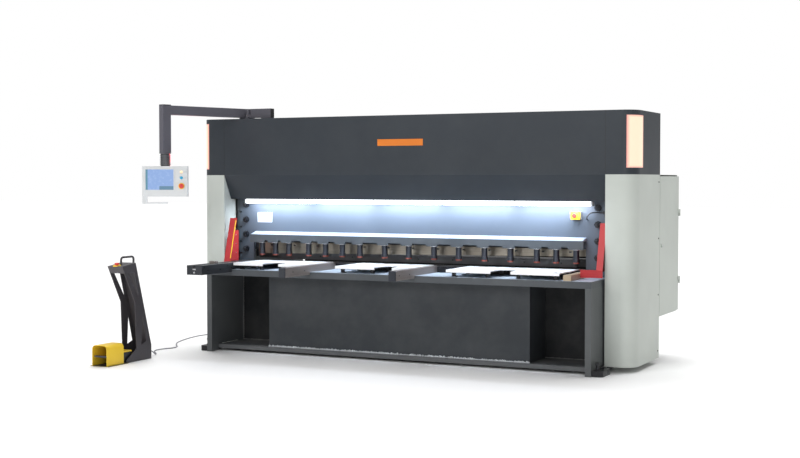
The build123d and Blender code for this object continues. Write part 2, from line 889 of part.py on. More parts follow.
def pump_motor():
    """Finned electric motor over its pump, beside the tank."""
    y = (tank_front + tank_rear) / 2
    low = shelf_top + motor_foot_t
    with BuildPart() as motor:
        block((motor_x - motor_r, motor_x + motor_r), (y - motor_r, y + motor_r),
              (shelf_top, low))
        rod((motor_x, y, low + pump_h / 2), pump_r, pump_h)
        rod((motor_x, y, low + pump_h + motor_h / 2), motor_r, motor_h)
        for index in range(fin_count):
            middle = low + pump_h + fin_pitch * (index + 1.5)
            rod((motor_x, y, middle), fin_r, fin_t)
    return motor


# ---------------------------------------------------------------- back gauge and rear slide
def backgauge_beam():
    """Stop bar behind the blades, on arms from a cross tube that rides on two carriages."""
    tube_rear = gauge_tube_y + gauge_tube_t
    reach = rail_x + rail_w / 2
    with BuildPart() as gauge:
        block((-gauge_bar_half, gauge_bar_half), (gauge_bar_y, gauge_bar_y + gauge_bar_t),
              (gauge_low, gauge_top))
        block((-reach, reach), (gauge_tube_y, tube_rear), (gauge_low, gauge_top))
        for side in (-1, 1):
            block(span(side, gauge_arm_x, gauge_arm_x + gauge_arm_t),
                  (gauge_bar_y + gauge_bar_t, gauge_tube_y), (gauge_low, gauge_top))
            block(span(side, reach - rail_w, reach), (gauge_tube_y, gauge_tube_y + carriage_length),
                  (gauge_top, rail_low - gap))
        block((-nut_half, nut_half), (gauge_tube_y, tube_rear), (gauge_top, nut_top))
        rod((0, (gauge_tube_y + tube_rear) / 2, screw_z), screw_r + running, gauge_tube_t, "Y",
            Mode.SUBTRACT)
    return gauge


def backgauge_rails():
    """Rails under which the carriages run, on brackets from the side frames."""
    with BuildPart() as rails:
        for side in (-1, 1):
            block(span(side, rail_x - rail_w / 2, rail_x + rail_w / 2), (rail_front, rail_rear),
                  (rail_low, rail_low + rail_h))
            for start in (rail_front, rail_rear - rail_bracket_t):
                block(span(side, rail_x + rail_w / 2, frame_inner),
                      (start, start + rail_bracket_t), (rail_low, rail_low + rail_h))
    return rails


def backgauge_screw():
    """Ball screw of the back gauge."""
    front = gauge_tube_y - screw_ahead
    with BuildPart() as screw:
        rod((0, (front + rail_rear + crossbar_t) / 2, screw_z), screw_r,
            rail_rear + crossbar_t - front, "Y")
    return screw


def rear_crossbar():
    """Cross member between the side frames, with the screw's bearing."""
    y = (rail_rear, rail_rear + crossbar_t)
    with BuildPart() as bar:
        block((-frame_inner, frame_inner), y, (crossbar_low, crossbar_top))
        rod((0, sum(y) / 2, screw_z), screw_r + running, crossbar_t, "Y", Mode.SUBTRACT)
    return bar


def backgauge_motor():
    """Servo motor behind the cross member."""
    front = rail_rear + crossbar_t
    with BuildPart() as motor:
        block((-servo_half, servo_half), (front, front + servo_length),
              (screw_z - servo_half, screw_z + servo_half))
        fillet(motor.edges().filter_by(Axis.Y), servo_round)
        rod((0, front, screw_z), screw_r + screw_relief, 2 * gap, "Y", Mode.SUBTRACT)
    return motor


def rear_slide():
    """Sloping tray that takes the cut pieces to the rear."""
    run = slide_rear[0] - slide_front[0]
    fall = slide_front[1] - slide_rear[1]
    rise = slide_t * hypot(run, fall) / run
    outline = (slide_front, slide_rear, (slide_rear[0], slide_rear[1] - rise),
               (slide_front[0], slide_front[1] - rise))
    with BuildPart() as tray:
        side_profile(-frame_inner, outline, 2 * frame_inner)
    return tray


# ---------------------------------------------------------------- on the table
def sheet_plates():
    """Bright plates at working height, with folded front edges and rounded hand recesses."""
    rear = table_rear - lower_blade_t
    z = (work_height - plate_t, work_height)
    with BuildPart() as plates:
        for left, right, recess_left, recess_right in sheet_plate_spans:
            block((left, right), (plate_front, rear), z)
            block((left, right), (plate_front, plate_front + lip_t), (z[0] - plate_lip, z[0]))
        for left, right, recess_left, recess_right in sheet_plate_spans:
            radius = (recess_right - recess_left) / 2
            middle = recess_left + radius
            block((recess_left, recess_right), (plate_front, plate_front + recess_depth - radius),
                  (z[0] - plate_lip, z[1]), Mode.SUBTRACT)
            rod((middle, plate_front + recess_depth - radius, sum(z) / 2), radius, plate_t,
                mode=Mode.SUBTRACT)
    return plates


def plate_posts():
    """Square posts between the table and the sheet plates."""
    with BuildPart() as posts:
        for left, right, recess_left, recess_right in sheet_plate_spans:
            for x in (left + post_inset, recess_left - post_inset, recess_right + post_inset,
                      right - post_inset):
                for y in (post_front, post_rear):
                    block((x - post_w / 2, x + post_w / 2), (y - post_w / 2, y + post_w / 2),
                          (table_top, work_height - plate_t))
    return posts


def arm_outline(front, top=work_height):
    """Side view of an arm that hooks over the table's front edge."""
    low = top - arm_drop
    return ((front, low), (front, top), (arm_rear, top), (arm_rear, table_top),
            (table_front, table_top), (table_front, low))


def squaring_arm():
    """Wide arm at the left with a T-slot along its top."""
    middle = (squaring_left + squaring_right) / 2
    y = (squaring_front, arm_rear)
    with BuildPart() as arm:
        side_profile(squaring_left, arm_outline(squaring_front), squaring_right - squaring_left)
        chamfer(arm.edges().filter_by(Axis.Y).group_by(Axis.Z)[-1], 1.5)
        block((middle - slot_w / 2, middle + slot_w / 2), y,
              (work_height - slot_depth, work_height), Mode.SUBTRACT)
        block((middle - slot_head_w / 2, middle + slot_head_w / 2), y,
              (work_height - slot_depth - slot_head_h, work_height - slot_depth), Mode.SUBTRACT)
    return arm


def squaring_stop():
    """Stop that slides in the squaring arm's slot."""
    middle = (squaring_left + squaring_right) / 2
    neck_z = work_height - slot_depth
    y = (stop_y - stop_length / 2, stop_y + stop_length / 2)
    neck = slot_w / 2 - gap
    head = slot_head_w / 2 - gap
    with BuildPart() as stop:
        block((middle - stop_w / 2, middle + stop_w / 2), y,
              (work_height + gap, work_height + gap + stop_h))
        chamfer(stop.edges().group_by(Axis.Z)[-1], 2)
        block((middle - neck, middle + neck), y, (neck_z - gap, work_height + gap))
        block((middle - head, middle + head), y,
              (neck_z - slot_head_h + gap, neck_z - gap))
    return stop


def support_arms():
    """Two narrow arms that carry the sheet in front of the table."""
    with BuildPart() as arms:
        for middle, front in zip(arm_middles, arm_fronts):
            side_profile(middle - arm_w / 2, arm_outline(front), arm_w)
        chamfer(arms.edges().filter_by(Axis.Y).group_by(Axis.Z)[-1], 1.5)
    return arms


def arm_end_caps():
    """Caps on the front ends of the support arms."""
    with BuildPart() as caps:
        for middle, front in zip(arm_middles, arm_fronts):
            block((middle - arm_w / 2, middle + arm_w / 2), (front - arm_cap_t, front),
                  (work_height - arm_drop, work_height))
        chamfer(caps.edges().group_by(Axis.Y)[0], 1)
        chamfer([e for e in caps.edges().filter_by(Axis.X)
                 if abs(e.center().Y - arm_fronts[1] + arm_cap_t) < 1], 1)
    return caps


def stub_rail():
    """Short bright rail at the right end of the table."""
    with BuildPart() as rail:
        block((stub_left, stub_right), (plate_front, arm_rear), (table_top, stub_top))
        chamfer(rail.edges().filter_by(Axis.Y).group_by(Axis.Z)[-1], 1.5)
    return rail


def throat_guards():
    """Folded red wings that close both ends of the throat; the right one has a toe."""
    slope = (wing_top_y - wing_low_y) / (wing_top - wing_low)
    lean = atan2(wing_top_y - wing_low_y, wing_top - wing_low)
    table_y = wing_low_y - slope * (wing_low - table_top)
    web_y = wing_low_y + slope * (left_wing_web_top - wing_low)
    normal = (0, -cos(lean), sin(lean))
    face = Plane(origin=(0, wing_low_y, wing_low), x_dir=(1, 0, 0), z_dir=normal)
    length = hypot(wing_top_y - wing_low_y, wing_top - wing_low)
    left_face = Plane(origin=(0, table_y, table_top), x_dir=(1, 0, 0), z_dir=normal)
    left_length = hypot(wing_top_y - table_y, wing_top - table_top)
    right_web = ((wing_low_y, wing_low), (wing_top_y, wing_top), (wing_rear_top_y, wing_top),
                 (beam_y, wing_rear_z), (beam_y, wing_low))
    left_web = ((table_y, table_top), (web_y, left_wing_web_top),
                (left_wing_rear_y, left_wing_web_top), (left_wing_rear_y, table_top))
    with BuildPart() as guards:
        prism(face, ((wing_inner, 0), (cover_inner, 0), (cover_inner, length),
                     (wing_inner, length)), -wing_t)
        side_profile(wing_inner, right_web, wing_t)
        block((wing_toe_left, cover_inner), (wing_low_y, wing_low_y + wing_t),
              (wing_toe_low, wing_toe_top))
        prism(left_face, ((left_wing_outer, wing_t), (left_wing_inner, wing_t),
                          (left_wing_inner, left_length), (left_wing_outer, left_length)),
              -wing_t)
        side_profile(left_wing_inner - wing_t, left_web, wing_t)
        block((left_wing_outer, left_wing_inner), (table_y + wing_t, left_wing_rear_y),
              (table_top, table_top + wing_t))
    return guards


# ---------------------------------------------------------------- lights, plate, emergency stops
def light_bar():
    """Row of light modules under the hood's lip."""
    length = (2 * light_half - (light_count - 1) * light_joint) / light_count
    with BuildPart() as bar:
        for index in range(light_count):
            left = -light_half + index * (length + light_joint)
            block((left, left + length), (light_y, light_y + light_depth),
                  (light_low, hood_lip_z))
    return bar


def label_plate():
    """Blank plate at the left of the beam."""
    with BuildPart() as plate:
        block(label_x, (beam_y - label_t, beam_y), label_z)
    return plate


stop_x = sum(stop_box_x) / 2
stop_z = sum(stop_box_z) / 2
stop_face = beam_y - stop_box_depth
top_run = station_profile[1][0] - station_profile[0][0]
top_climb = station_profile[1][1] - station_profile[0][1]
top_lean = atan2(top_climb, top_run)
station_x = (station_left + station_right) / 2
station_stop_along = 30.0  # front edge of the station's top to its emergency stop
station_stop_y = face_y + station_profile[0][0] + station_stop_along * cos(top_lean)
station_stop_z = station_profile[0][1] + station_stop_along * sin(top_lean)
station_top = Plane(origin=(station_x, station_stop_y, station_stop_z), x_dir=(1, 0, 0),
                    z_dir=(0, -sin(top_lean), cos(top_lean)))
beam_stop_plane = Plane(origin=(stop_x, stop_face, stop_z), x_dir=(1, 0, 0), z_dir=(0, -1, 0))


def mushroom(plane):
    """Mushroom head and stem of an emergency stop that stands on a plane."""
    with BuildPart(plane) as button:
        rod((0, 0, mushroom_stand + mushroom_t / 2), mushroom_r, mushroom_t)
        fillet(button.edges().filter_by(GeomType.CIRCLE), mushroom_t / 3)
        rod((0, 0, (mushroom_stand - mushroom_deep) / 2), mushroom_stem_r,
            mushroom_stand + mushroom_deep)
    return button


def estop_housings():
    """Yellow box on the beam and yellow collar on the station."""
    with BuildPart() as housings:
        block(stop_box_x, (stop_face, beam_y), stop_box_z)
        fillet(housings.edges().filter_by(Axis.Y), stop_box_r)
        rod((stop_x, stop_face + mushroom_bore / 2, stop_z), mushroom_stem_r + gap,
            mushroom_bore, "Y", Mode.SUBTRACT)
        with BuildSketch(station_top) as ring:
            Circle(collar_r)
            Circle(mushroom_stem_r + gap, mode=Mode.SUBTRACT)
        extrude(ring.sketch, amount=collar_t)
    return housings


# ---------------------------------------------------------------- cords
def cord_radii(points):
    """Arc at each inner point of a route: 0.45 of the shorter run over the tangent of half a turn."""
    radii = []
    for before, here, after in zip(points, points[1:], points[2:]):
        run_in = Vector(*here) - Vector(*before)
        run_out = Vector(*after) - Vector(*here)
        half_turn = radians(run_in.get_angle(run_out)) / 2
        radii.append(0.45 * min(run_in.length, run_out.length) / tan(half_turn))
    return radii


def tube(points, radius):
    """Round cord along straight runs joined by tangent arcs."""
    radii = cord_radii(points)
    with BuildPart() as cord:
        with BuildLine() as route:
            FilletPolyline(*points, radius=radii)
        with BuildSketch(Plane(origin=points[0], z_dir=Vector(*points[1]) - Vector(*points[0]))):
            Circle(radius)
        sweep()
    length = sum(edge.length for edge in route.edges())
    section = pi * radius ** 2
    print(f"cord length {length:.0f}, volume over section x length "
          f"{cord.part.volume / section / length:.4f}, radii {[round(r) for r in radii]}")
    return cord


def stop_lead():
    """Lead of the emergency stop: out of a hole in the beam and over to its clip."""
    return tube([(half_length - x, beam_y - out, z) for x, out, z in lead_run], lead_r)


def pedal_cord():
    """Cord on the floor from the pedal station to the left side frame."""
    return tube(cord_points, cord_r)


def cable_glands():
    """Tapered glands of the pedal cord and the clip that takes the stop's lead."""
    start = Plane(origin=(cord_points[0][0], cord_points[0][1] - gland_length, cord_points[0][2]),
                  x_dir=(1, 0, 0), z_dir=(0, 1, 0))
    end = Plane(origin=(-frame_inner - frame_t, cord_points[-1][1], cord_points[-1][2]),
                x_dir=(0, 1, 0), z_dir=(-1, 0, 0))
    end_length = -frame_inner - frame_t - cord_points[-1][0]
    with BuildPart() as glands:
        for base, length in ((start, gland_length), (end, end_length)):
            with BuildSketch(base) as wide:
                Circle(gland_r)
            with BuildSketch(base.offset(length)) as narrow:
                Circle(gland_tip_r)
            loft([wide.sketch, narrow.sketch])
        clip_x = half_length - lead_run[-1][0]
        clip_z = lead_run[-1][2]
        block((clip_x, clip_x + clip_w), (beam_y - clip_t, beam_y),
              (clip_z - clip_w / 2, clip_z + clip_w / 2))
    return glands


# ---------------------------------------------------------------- pendant
arm_plane = Plane(origin=(pivot_x, pivot_y, 0),
                  x_dir=(cos(radians(arm_heading)), sin(radians(arm_heading)), 0), z_dir=(0, 0, 1))
column_x = pivot_x + arm_length * cos(radians(arm_heading))
column_y = pivot_y + arm_length * sin(radians(arm_heading))
panel_plane = Plane(origin=(column_x, column_y, 0),
                    x_dir=(cos(radians(panel_heading)), sin(radians(panel_heading)), 0),
                    z_dir=(0, 0, 1))
arm_low = arm_top - arm_tube_h


def pendant_mast():
    """Fixed arm on the roof with the pivot post and its pin."""
    y = (pivot_y - arm_tube_w / 2, pivot_y + arm_tube_w / 2)
    with BuildPart() as mast:
        block((roof_arm_left, roof_arm_right), y, (arm_low, arm_top))
        block((pivot_x, roof_arm_left), y, (arm_low, hub_split))
        rod((pivot_x, pivot_y, (hood_top + hub_split) / 2), hub_r, hub_split - hood_top)
        block((pivot_x - roof_foot_w / 2, pivot_x + roof_foot_w / 2),
              (pivot_y - roof_foot_w / 2, pivot_y + roof_foot_w / 2),
              (hood_top, hood_top + roof_foot_t))
        block((roof_arm_right - roof_foot_w, roof_arm_right), y, (hood_top, arm_low))
        rod((pivot_x, pivot_y, (hub_split + pivot_pin_top) / 2), pivot_pin_r,
            pivot_pin_top - hub_split)
    return mast


def pendant_arm():
    """Swinging arm with its hub, and the column that hangs from its end."""
    half = arm_tube_w / 2
    low = hub_split + gap
    with BuildPart(arm_plane) as arm:
        rod((0, 0, (low + arm_top) / 2), hub_r, arm_top - low)
        block((0, arm_length + arm_tube_h / 2), (-half, half), (low, arm_top))
        block((hub_r + hub_clear, arm_length + arm_tube_h / 2), (-half, half), (arm_low, arm_top))
        block((arm_length - arm_tube_h / 2, arm_length + arm_tube_h / 2), (-half, half),
              (column_low, arm_top + column_cap_t))
        rod((0, 0, (low + pivot_pin_top) / 2), pivot_pin_r + running, pivot_pin_top - low + gap,
            mode=Mode.SUBTRACT)
        rod((arm_length, 0, column_low + column_socket / 2), pivot_pin_r + running, column_socket,
            mode=Mode.SUBTRACT)
    return arm


def panel_housing():
    """Control panel with its ribbed coupling, its swivel pin and the tray bracket under it."""
    with BuildPart(panel_plane) as panel:
        block((-panel_w / 2, panel_w / 2), (-panel_front_d, panel_back_d), (panel_low, panel_high))
        fillet(panel.edges().filter_by(lambda e: abs(e.center().Z - (panel_low + panel_high) / 2)
                                       < 1), panel_r)
        chamfer(panel.faces().sort_by(Axis.Z)[-1].edges(), 2)
        block(screen_x, (-panel_front_d, -panel_front_d + screen_t), screen_z, Mode.SUBTRACT)
        for height, radius in ((start_z, button_r), (blue_z, button_r), (estop_z, mushroom_stem_r)):
            rod((button_x, -panel_front_d + button_in / 2 + button_travel, height), radius + gap,
                button_in + 2 * button_travel, "Y", Mode.SUBTRACT)
        rod((0, 0, (panel_high + column_low) / 2), coupling_r, column_low - gap - panel_high)
        pitch = (column_low - panel_high) / (coupling_ribs + 1)
        for index in range(coupling_ribs):
            rod((0, 0, panel_high + pitch * (index + 1)), coupling_rib_r, pitch / 2)
        pin_top = column_low + column_socket - gap
        rod((0, 0, (panel_high + pin_top) / 2), pivot_pin_r, pin_top - panel_high)
        left = -panel_w / 2
        block((left, left + tray_post_w), (-tray_depth, 0), (panel_low - tray_drop, panel_low))
        block((left, left + tray_w), (-tray_depth, 0),
              (panel_low - tray_drop, panel_low - tray_drop + tray_t))
    return panel


def panel_screen():
    """Screen glass, flush with the panel's front."""
    with BuildPart(panel_plane) as screen:
        block(screen_x, (-panel_front_d, -panel_front_d + screen_t), screen_z)
    return screen


def push_button(height):
    """Round button in the panel's column of controls."""
    with BuildPart(panel_plane) as button:
        rod((button_x, -panel_front_d + (button_in - button_out) / 2, height), button_r,
            button_in + button_out, "Y")
    return button


def panel_stop_plane():
    """Plane of the panel's front at its emergency stop."""
    origin = panel_plane.from_local_coords(Vector(button_x, -panel_front_d, estop_z))
    heading = radians(panel_heading)
    return Plane(origin=origin, x_dir=panel_plane.x_dir, z_dir=(sin(heading), -cos(heading), 0))


# ---------------------------------------------------------------- pedal station
def strip(start, end, thickness):
    """Outline of a plate whose outer face runs from start to end; its body lies to the left."""
    run = hypot(end[0] - start[0], end[1] - start[1])
    normal = (-(end[1] - start[1]) / run * thickness, (end[0] - start[0]) / run * thickness)
    return (start, end, (end[0] + normal[0], end[1] + normal[1]),
            (start[0] + normal[0], start[1] + normal[1]))


def placed(points):
    """Profile points moved from the covers' front plane into the machine's frame."""
    return tuple((face_y + y, z) for y, z in points)


def station_body():
    """Folded stand: two pierced side plates with a top, a front panel, a back and a floor."""
    profile = placed(station_profile)
    inner_left = station_left + station_t
    inner_w = station_right - station_left - 2 * station_t
    top_front, top_rear, knee, heel, toe = profile[:5]
    waist = profile[7]
    share = panel_strip_h / (top_front[1] - waist[1])
    panel_foot = (top_front[0] + share * (waist[0] - top_front[0]), top_front[1] - panel_strip_h)
    with BuildPart() as stand:
        for x in (station_left, station_right - station_t):
            side_profile(x, profile, station_t)
            for window in (station_window_high, station_window_low):
                side_profile(x, placed(window), station_t, Mode.SUBTRACT)
        for start, end in ((top_rear, top_front), (knee, top_rear), (heel, knee), (toe, heel),
                           (top_front, panel_foot)):
            side_profile(inner_left, strip(start, end, station_t), inner_w)
        with BuildSketch(station_top) as hole:
            Circle(mushroom_stem_r + gap)
        extrude(hole.sketch, amount=-2 * station_t, mode=Mode.SUBTRACT)
    return stand


def station_handle():
    """Bent rod over the top of the station."""
    knee, top_rear = placed(station_profile)[2], placed(station_profile)[1]
    run = hypot(top_rear[0] - knee[0], top_rear[1] - knee[1])
    out = ((top_rear[1] - knee[1]) / run, (knee[0] - top_rear[0]) / run)
    share = handle_seat / run
    seat = (top_rear[0] + share * (knee[0] - top_rear[0]), top_rear[1] - share * (top_rear[1] - knee[1]))
    foot_z = station_stop_z + (handle_front + face_y - station_stop_y) * tan(top_lean)
    points = [(station_x, handle_front + face_y, foot_z + 4 * gap),
              (station_x, handle_front + face_y, handle_top - handle_r),
              (station_x, handle_rear + face_y, handle_top - handle_r),
              (station_x, seat[0] + out[0] * handle_reach, seat[1] + out[1] * handle_reach),
              (station_x, seat[0] + out[0] * gap, seat[1] + out[1] * gap)]
    with BuildPart() as handle:
        with BuildLine():
            FilletPolyline(*points, radius=handle_bend)
        with BuildSketch(Plane(origin=points[0], z_dir=(0, 0, 1))):
            Circle(handle_r)
        sweep()
    return handle


def switch_plan(inset, top):
    """Front view of the foot switch's hood, rounded over the top."""
    with BuildSketch() as view:
        height = top - base_t - inset
        with Locations((station_x, base_t + height / 2)):
            Rectangle(2 * (switch_half - inset), height)
        upper = view.vertices().group_by(Axis.Y)[-1]
        fillet(upper, switch_round - inset)
    return view.sketch


def foot_switch():
    """Yellow hood over the treadle, open at the front, with its base plate and its tail."""
    front = face_y + switch_front
    hood_rear = face_y + switch_hood_rear
    station_front = face_y + station_profile[4][0]
    tail = switch_half - station_t - tail_inset
    with BuildPart() as switch:
        with BuildSketch(Plane.XZ.offset(-hood_rear)) as outside:
            add(switch_plan(0, switch_top))
        extrude(outside.sketch, amount=hood_rear - front)
        with BuildSketch(Plane.XZ.offset(-hood_rear + switch_t)) as inside:
            add(switch_plan(switch_t, switch_top))
        extrude(inside.sketch, amount=hood_rear - switch_t - front, mode=Mode.SUBTRACT)
        block((station_x - base_half, station_x + base_half), (front, station_front), (0, base_t))
        block((station_x - tail, station_x + tail), (hood_rear - switch_t, hood_rear + tail_length),
              (station_t + gap, switch_tail_top))
        rod((station_x, face_y + pedal_y, pedal_z), pedal_r, 2 * switch_half - switch_t, "X")
    return switch


def treadle():
    """Pedal plate on its hinge rod."""
    y = face_y + pedal_y
    half = switch_half - switch_t - 2
    outline = ((y, pedal_z - pedal_under), (y, pedal_z + pedal_hub_r), (y - pedal_length, pedal_front_z),
               (y - pedal_length, pedal_front_z - pedal_t))
    with BuildPart() as pedal:
        side_profile(station_x - half, outline, 2 * half)
        rod((station_x, y, pedal_z), pedal_hub_r, 2 * half, "X")
        rod((station_x, y, pedal_z), pedal_r + running, 2 * half, "X", Mode.SUBTRACT)
    return pedal


# ---------------------------------------------------------------- build
for name, side in (("left", -1), ("right", 1)):
    save(side_frame(side), f"side_frame_{name}")
    save(side_cover(side), f"side_cover_{name}")

for build in (table_plate, table_legs, apron, foot_ears, levelling_bolts, hood_front, hood_ends,
              corner_lamps, rear_box_left, cabinet_shell, cabinet_door, hold_down_beam,
              clamp_bolts, finger_guard, hold_down_cylinders, hold_down_plungers, hold_down_pads,
              lower_blade, blade_seat, upper_blade, cutting_beam, main_cylinders, cylinder_rods,
              backgauge_beam, backgauge_screw, backgauge_motor, rear_slide, sheet_plates,
              plate_posts, squaring_arm, squaring_stop, support_arms, arm_end_caps, stub_rail,
              throat_guards, light_bar, label_plate, estop_housings, stop_lead, pedal_cord,
              cable_glands, pendant_mast, pendant_arm, panel_housing, panel_screen, foot_switch,
              treadle):
    save(build(), build.__name__)

save_group("recess_plates", bottom_plate(), recess_wall_plate())
save_group("power_pack", oil_tank(), pump_motor())
save_group("backgauge_rails", backgauge_rails(), rear_crossbar())
save_group("pedal_station", station_body(), station_handle())

save(push_button(start_z), "start_button")
save(push_button(blue_z), "reset_button")
save(mushroom(panel_stop_plane()), "panel_stop_button")
save(mushroom(beam_stop_plane), "beam_stop_button")
save(mushroom(station_top), "station_stop_button")
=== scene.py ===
"""Looks of a hydraulic guillotine shear with its control pendant and pedal station.

Metres, in the frame of the CAD model.  The CAD pieces keep their shapes and get their finishes
here; small pieces, lights, the pedal cord and the studio are added round them.
"""
import itertools
import math

import bmesh
import bpy
from mathutils import Matrix, Vector


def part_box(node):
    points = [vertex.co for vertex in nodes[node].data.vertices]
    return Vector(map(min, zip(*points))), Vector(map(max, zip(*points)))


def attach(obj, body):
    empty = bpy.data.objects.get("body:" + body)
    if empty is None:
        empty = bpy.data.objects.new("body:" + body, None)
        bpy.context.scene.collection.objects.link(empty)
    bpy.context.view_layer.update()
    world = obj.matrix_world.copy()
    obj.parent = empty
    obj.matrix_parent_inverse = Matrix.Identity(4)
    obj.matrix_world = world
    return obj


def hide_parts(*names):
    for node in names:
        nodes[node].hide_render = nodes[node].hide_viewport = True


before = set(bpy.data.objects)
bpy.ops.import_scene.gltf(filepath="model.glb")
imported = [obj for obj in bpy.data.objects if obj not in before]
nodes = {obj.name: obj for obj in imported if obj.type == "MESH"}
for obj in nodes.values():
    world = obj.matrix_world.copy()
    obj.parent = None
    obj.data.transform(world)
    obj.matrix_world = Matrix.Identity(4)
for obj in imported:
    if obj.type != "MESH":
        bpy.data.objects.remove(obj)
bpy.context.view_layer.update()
scene = bpy.context.scene


# ---------------- camera
CAMERA_PLACE = (4.862, -10.514, 1.509)
CAMERA_TURN = (math.radians(90 - 2.12), 0.0, math.radians(26.09))
CAMERA_LENS = 59.2

camera_data = bpy.data.cameras.new("camera")
camera_data.lens = CAMERA_LENS
camera_data.sensor_width = 36.0
camera_data.clip_end = 200.0
camera = bpy.data.objects.new("camera", camera_data)
camera.location = CAMERA_PLACE
camera.rotation_euler = CAMERA_TURN
scene.collection.objects.link(camera)
scene.camera = camera


# ---------------- small tools
IDENTITY = Matrix.Identity(4)
FRONT, BACK, UP, DOWN = (0, -1, 0), (0, 1, 0), (0, 0, 1), (0, 0, -1)
LEFT, RIGHT = (-1, 0, 0), (1, 0, 0)


def row(low, high, count):
    """Evenly spaced values between two limits."""
    return [low + (high - low) * i / (count - 1) for i in range(count)]


def grid(xs, ys, zs, way):
    """Spots that face one way, at every mix of the places; each axis has one or several."""
    axes = [(axis,) if isinstance(axis, float) else axis for axis in (xs, ys, zs)]
    return [(place, way) for place in itertools.product(*axes)]


def link(obj, material, body="frame"):
    """Put a finished piece in the scene, with its finish, on its CAD body."""
    scene.collection.objects.link(obj)
    obj.data.materials.clear()
    obj.data.materials.append(material)
    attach(obj, body)
    return obj


def mesh_piece(name, shape, material, body="frame"):
    """Turn a bmesh into a piece; its place is already in its vertices."""
    bmesh.ops.recalc_face_normals(shape, faces=shape.faces)
    data = bpy.data.meshes.new(name)
    shape.to_mesh(data)
    shape.free()
    return link(bpy.data.objects.new(name, data), material, body)


def add_box(shape, low, high, bevel=0.0, matrix=IDENTITY):
    """Add a box with rounded edges to a bmesh, between two corners of a local frame."""
    size = [b - a for a, b in zip(low, high)]
    middle = [(a + b) / 2 for a, b in zip(low, high)]
    place = matrix @ Matrix.Translation(middle) @ Matrix.Diagonal((*size, 1.0))
    made = bmesh.ops.create_cube(shape, size=1.0, matrix=place)["verts"]
    if bevel:
        edges = list(dict.fromkeys(edge for vert in made for edge in vert.link_edges))
        bmesh.ops.bevel(shape, geom=edges, offset=bevel, segments=2, profile=0.5,
                        affect="EDGES")


def box_piece(name, boxes, material, body="frame", matrix=IDENTITY):
    """Piece made of boxes, each given as its low corner, its high corner and its bevel."""
    shape = bmesh.new()
    for low, high, bevel in boxes:
        add_box(shape, low, high, bevel, matrix)
    mesh_piece(name, shape, material, body)


def add_round(shape, rings, matrix, segments=32):
    """Add a turned piece to a bmesh: rings of (radius, height) along local Z, then place it."""
    loops = []
    for radius, height in rings:
        if radius <= 0:
            loops.append([shape.verts.new(matrix @ Vector((0, 0, height)))])
            continue
        turn = [2 * math.pi * i / segments for i in range(segments)]
        loops.append([shape.verts.new(matrix @ Vector((radius * math.cos(a),
                                                       radius * math.sin(a), height)))
                      for a in turn])
    for lower, upper in zip(loops, loops[1:]):
        for i in range(segments):
            j = (i + 1) % segments
            corners = [lower[i % len(lower)], lower[j % len(lower)],
                       upper[j % len(upper)], upper[i % len(upper)]]
            shape.faces.new(list(dict.fromkeys(corners)))
    for loop in (loops[0], loops[-1]):
        if len(loop) > 1:
            shape.faces.new(loop)

def round_piece(name, rings, places, material, segments, body="frame"):
    """Piece made of equal turned shapes, one at each place."""
    shape = bmesh.new()
    for place in places:
        add_round(shape, rings, place, segments)
    mesh_piece(name, shape, material, body)


def collar(inner, outer, crown, height):
    """Rings of a collar that narrows from its outer to its crown radius."""
    return ((inner, 0.0), (outer, 0.0), (crown, height), (inner, height), (inner, 0.0))


def facing(place, normal, across=(1, 0, 0)):
    """Matrix of a local frame at a place, with Z along a normal."""
    z = Vector(normal).normalized()
    x = (Vector(across) - z * Vector(across).dot(z)).normalized()
    turned = Matrix((x, z.cross(x), z)).transposed().to_4x4()
    return Matrix.Translation(place) @ turned


# ---------------- node trees
def node(tree, kind, **values):
    """New node.  Each value goes to the property or the input of its name, or to the input of its
    number for i0, i1 and so on; a value that is a socket is linked to that input."""
    made = tree.nodes.new(kind)
    for key, value in values.items():
        label = key.replace("_", " ")
        if hasattr(made, key):
            setattr(made, key, value)
            continue
        target = made.inputs[label if label in made.inputs else int(key[1:])]
        if isinstance(value, bpy.types.NodeSocket):
            tree.links.new(value, target)
        else:
            target.default_value = value
    return made


def maths(tree, operation, first, second, **values):
    """Result of an operation on two numbers or sockets."""
    return node(tree, "ShaderNodeMath", operation=operation, i0=first, i1=second,
                **values).outputs[0]


def ranged(tree, value, low, high, start=0.0, end=1.0):
    """Value socket moved from start..end to low..high."""
    return node(tree, "ShaderNodeMapRange", clamp=True, Value=value, From_Min=start,
                From_Max=end, To_Min=low, To_Max=high).outputs[0]


def place_on(tree):
    """Place on the piece, in its own coordinates."""
    return node(tree, "ShaderNodeTexCoord").outputs["Object"]


def noise(tree, scale, detail, rough=0.5, vector=None):
    """Noise in the coordinates of the piece, or along another vector."""
    vector = place_on(tree) if vector is None else vector
    return node(tree, "ShaderNodeTexNoise", Vector=vector, Scale=scale, Detail=detail,
                Roughness=rough).outputs["Fac"]


def new_group(name, outputs, **inputs):
    """Empty shader group: its tree, its inputs (numbers or vectors) and its number outputs."""
    group = bpy.data.node_groups.new(name, "ShaderNodeTree")
    for label, value in inputs.items():
        kind = "NodeSocketFloat" if isinstance(value, float) else "NodeSocketVector"
        socket = group.interface.new_socket(label.replace("_", " "), in_out="INPUT",
                                            socket_type=kind)
        socket.default_value = value
    for label in outputs:
        group.interface.new_socket(label, in_out="OUTPUT", socket_type="NodeSocketFloat")
    start, end = group.nodes.new("NodeGroupInput"), group.nodes.new("NodeGroupOutput")
    return group, start.outputs, end.inputs


def make_grain_group():
    """Fine bumps of sprayed paint or a cast skin, with slow drifts of tone."""
    group, given, result = new_group("grain", ("Height", "Drift"), Size=0.002, Drift_Size=0.5)
    for size, output, detail in (("Size", "Height", 2.0), ("Drift Size", "Drift", 4.0)):
        scale = maths(group, "DIVIDE", 1.0, given[size])
        group.links.new(noise(group, scale, detail, 0.55), result[output])
    return group


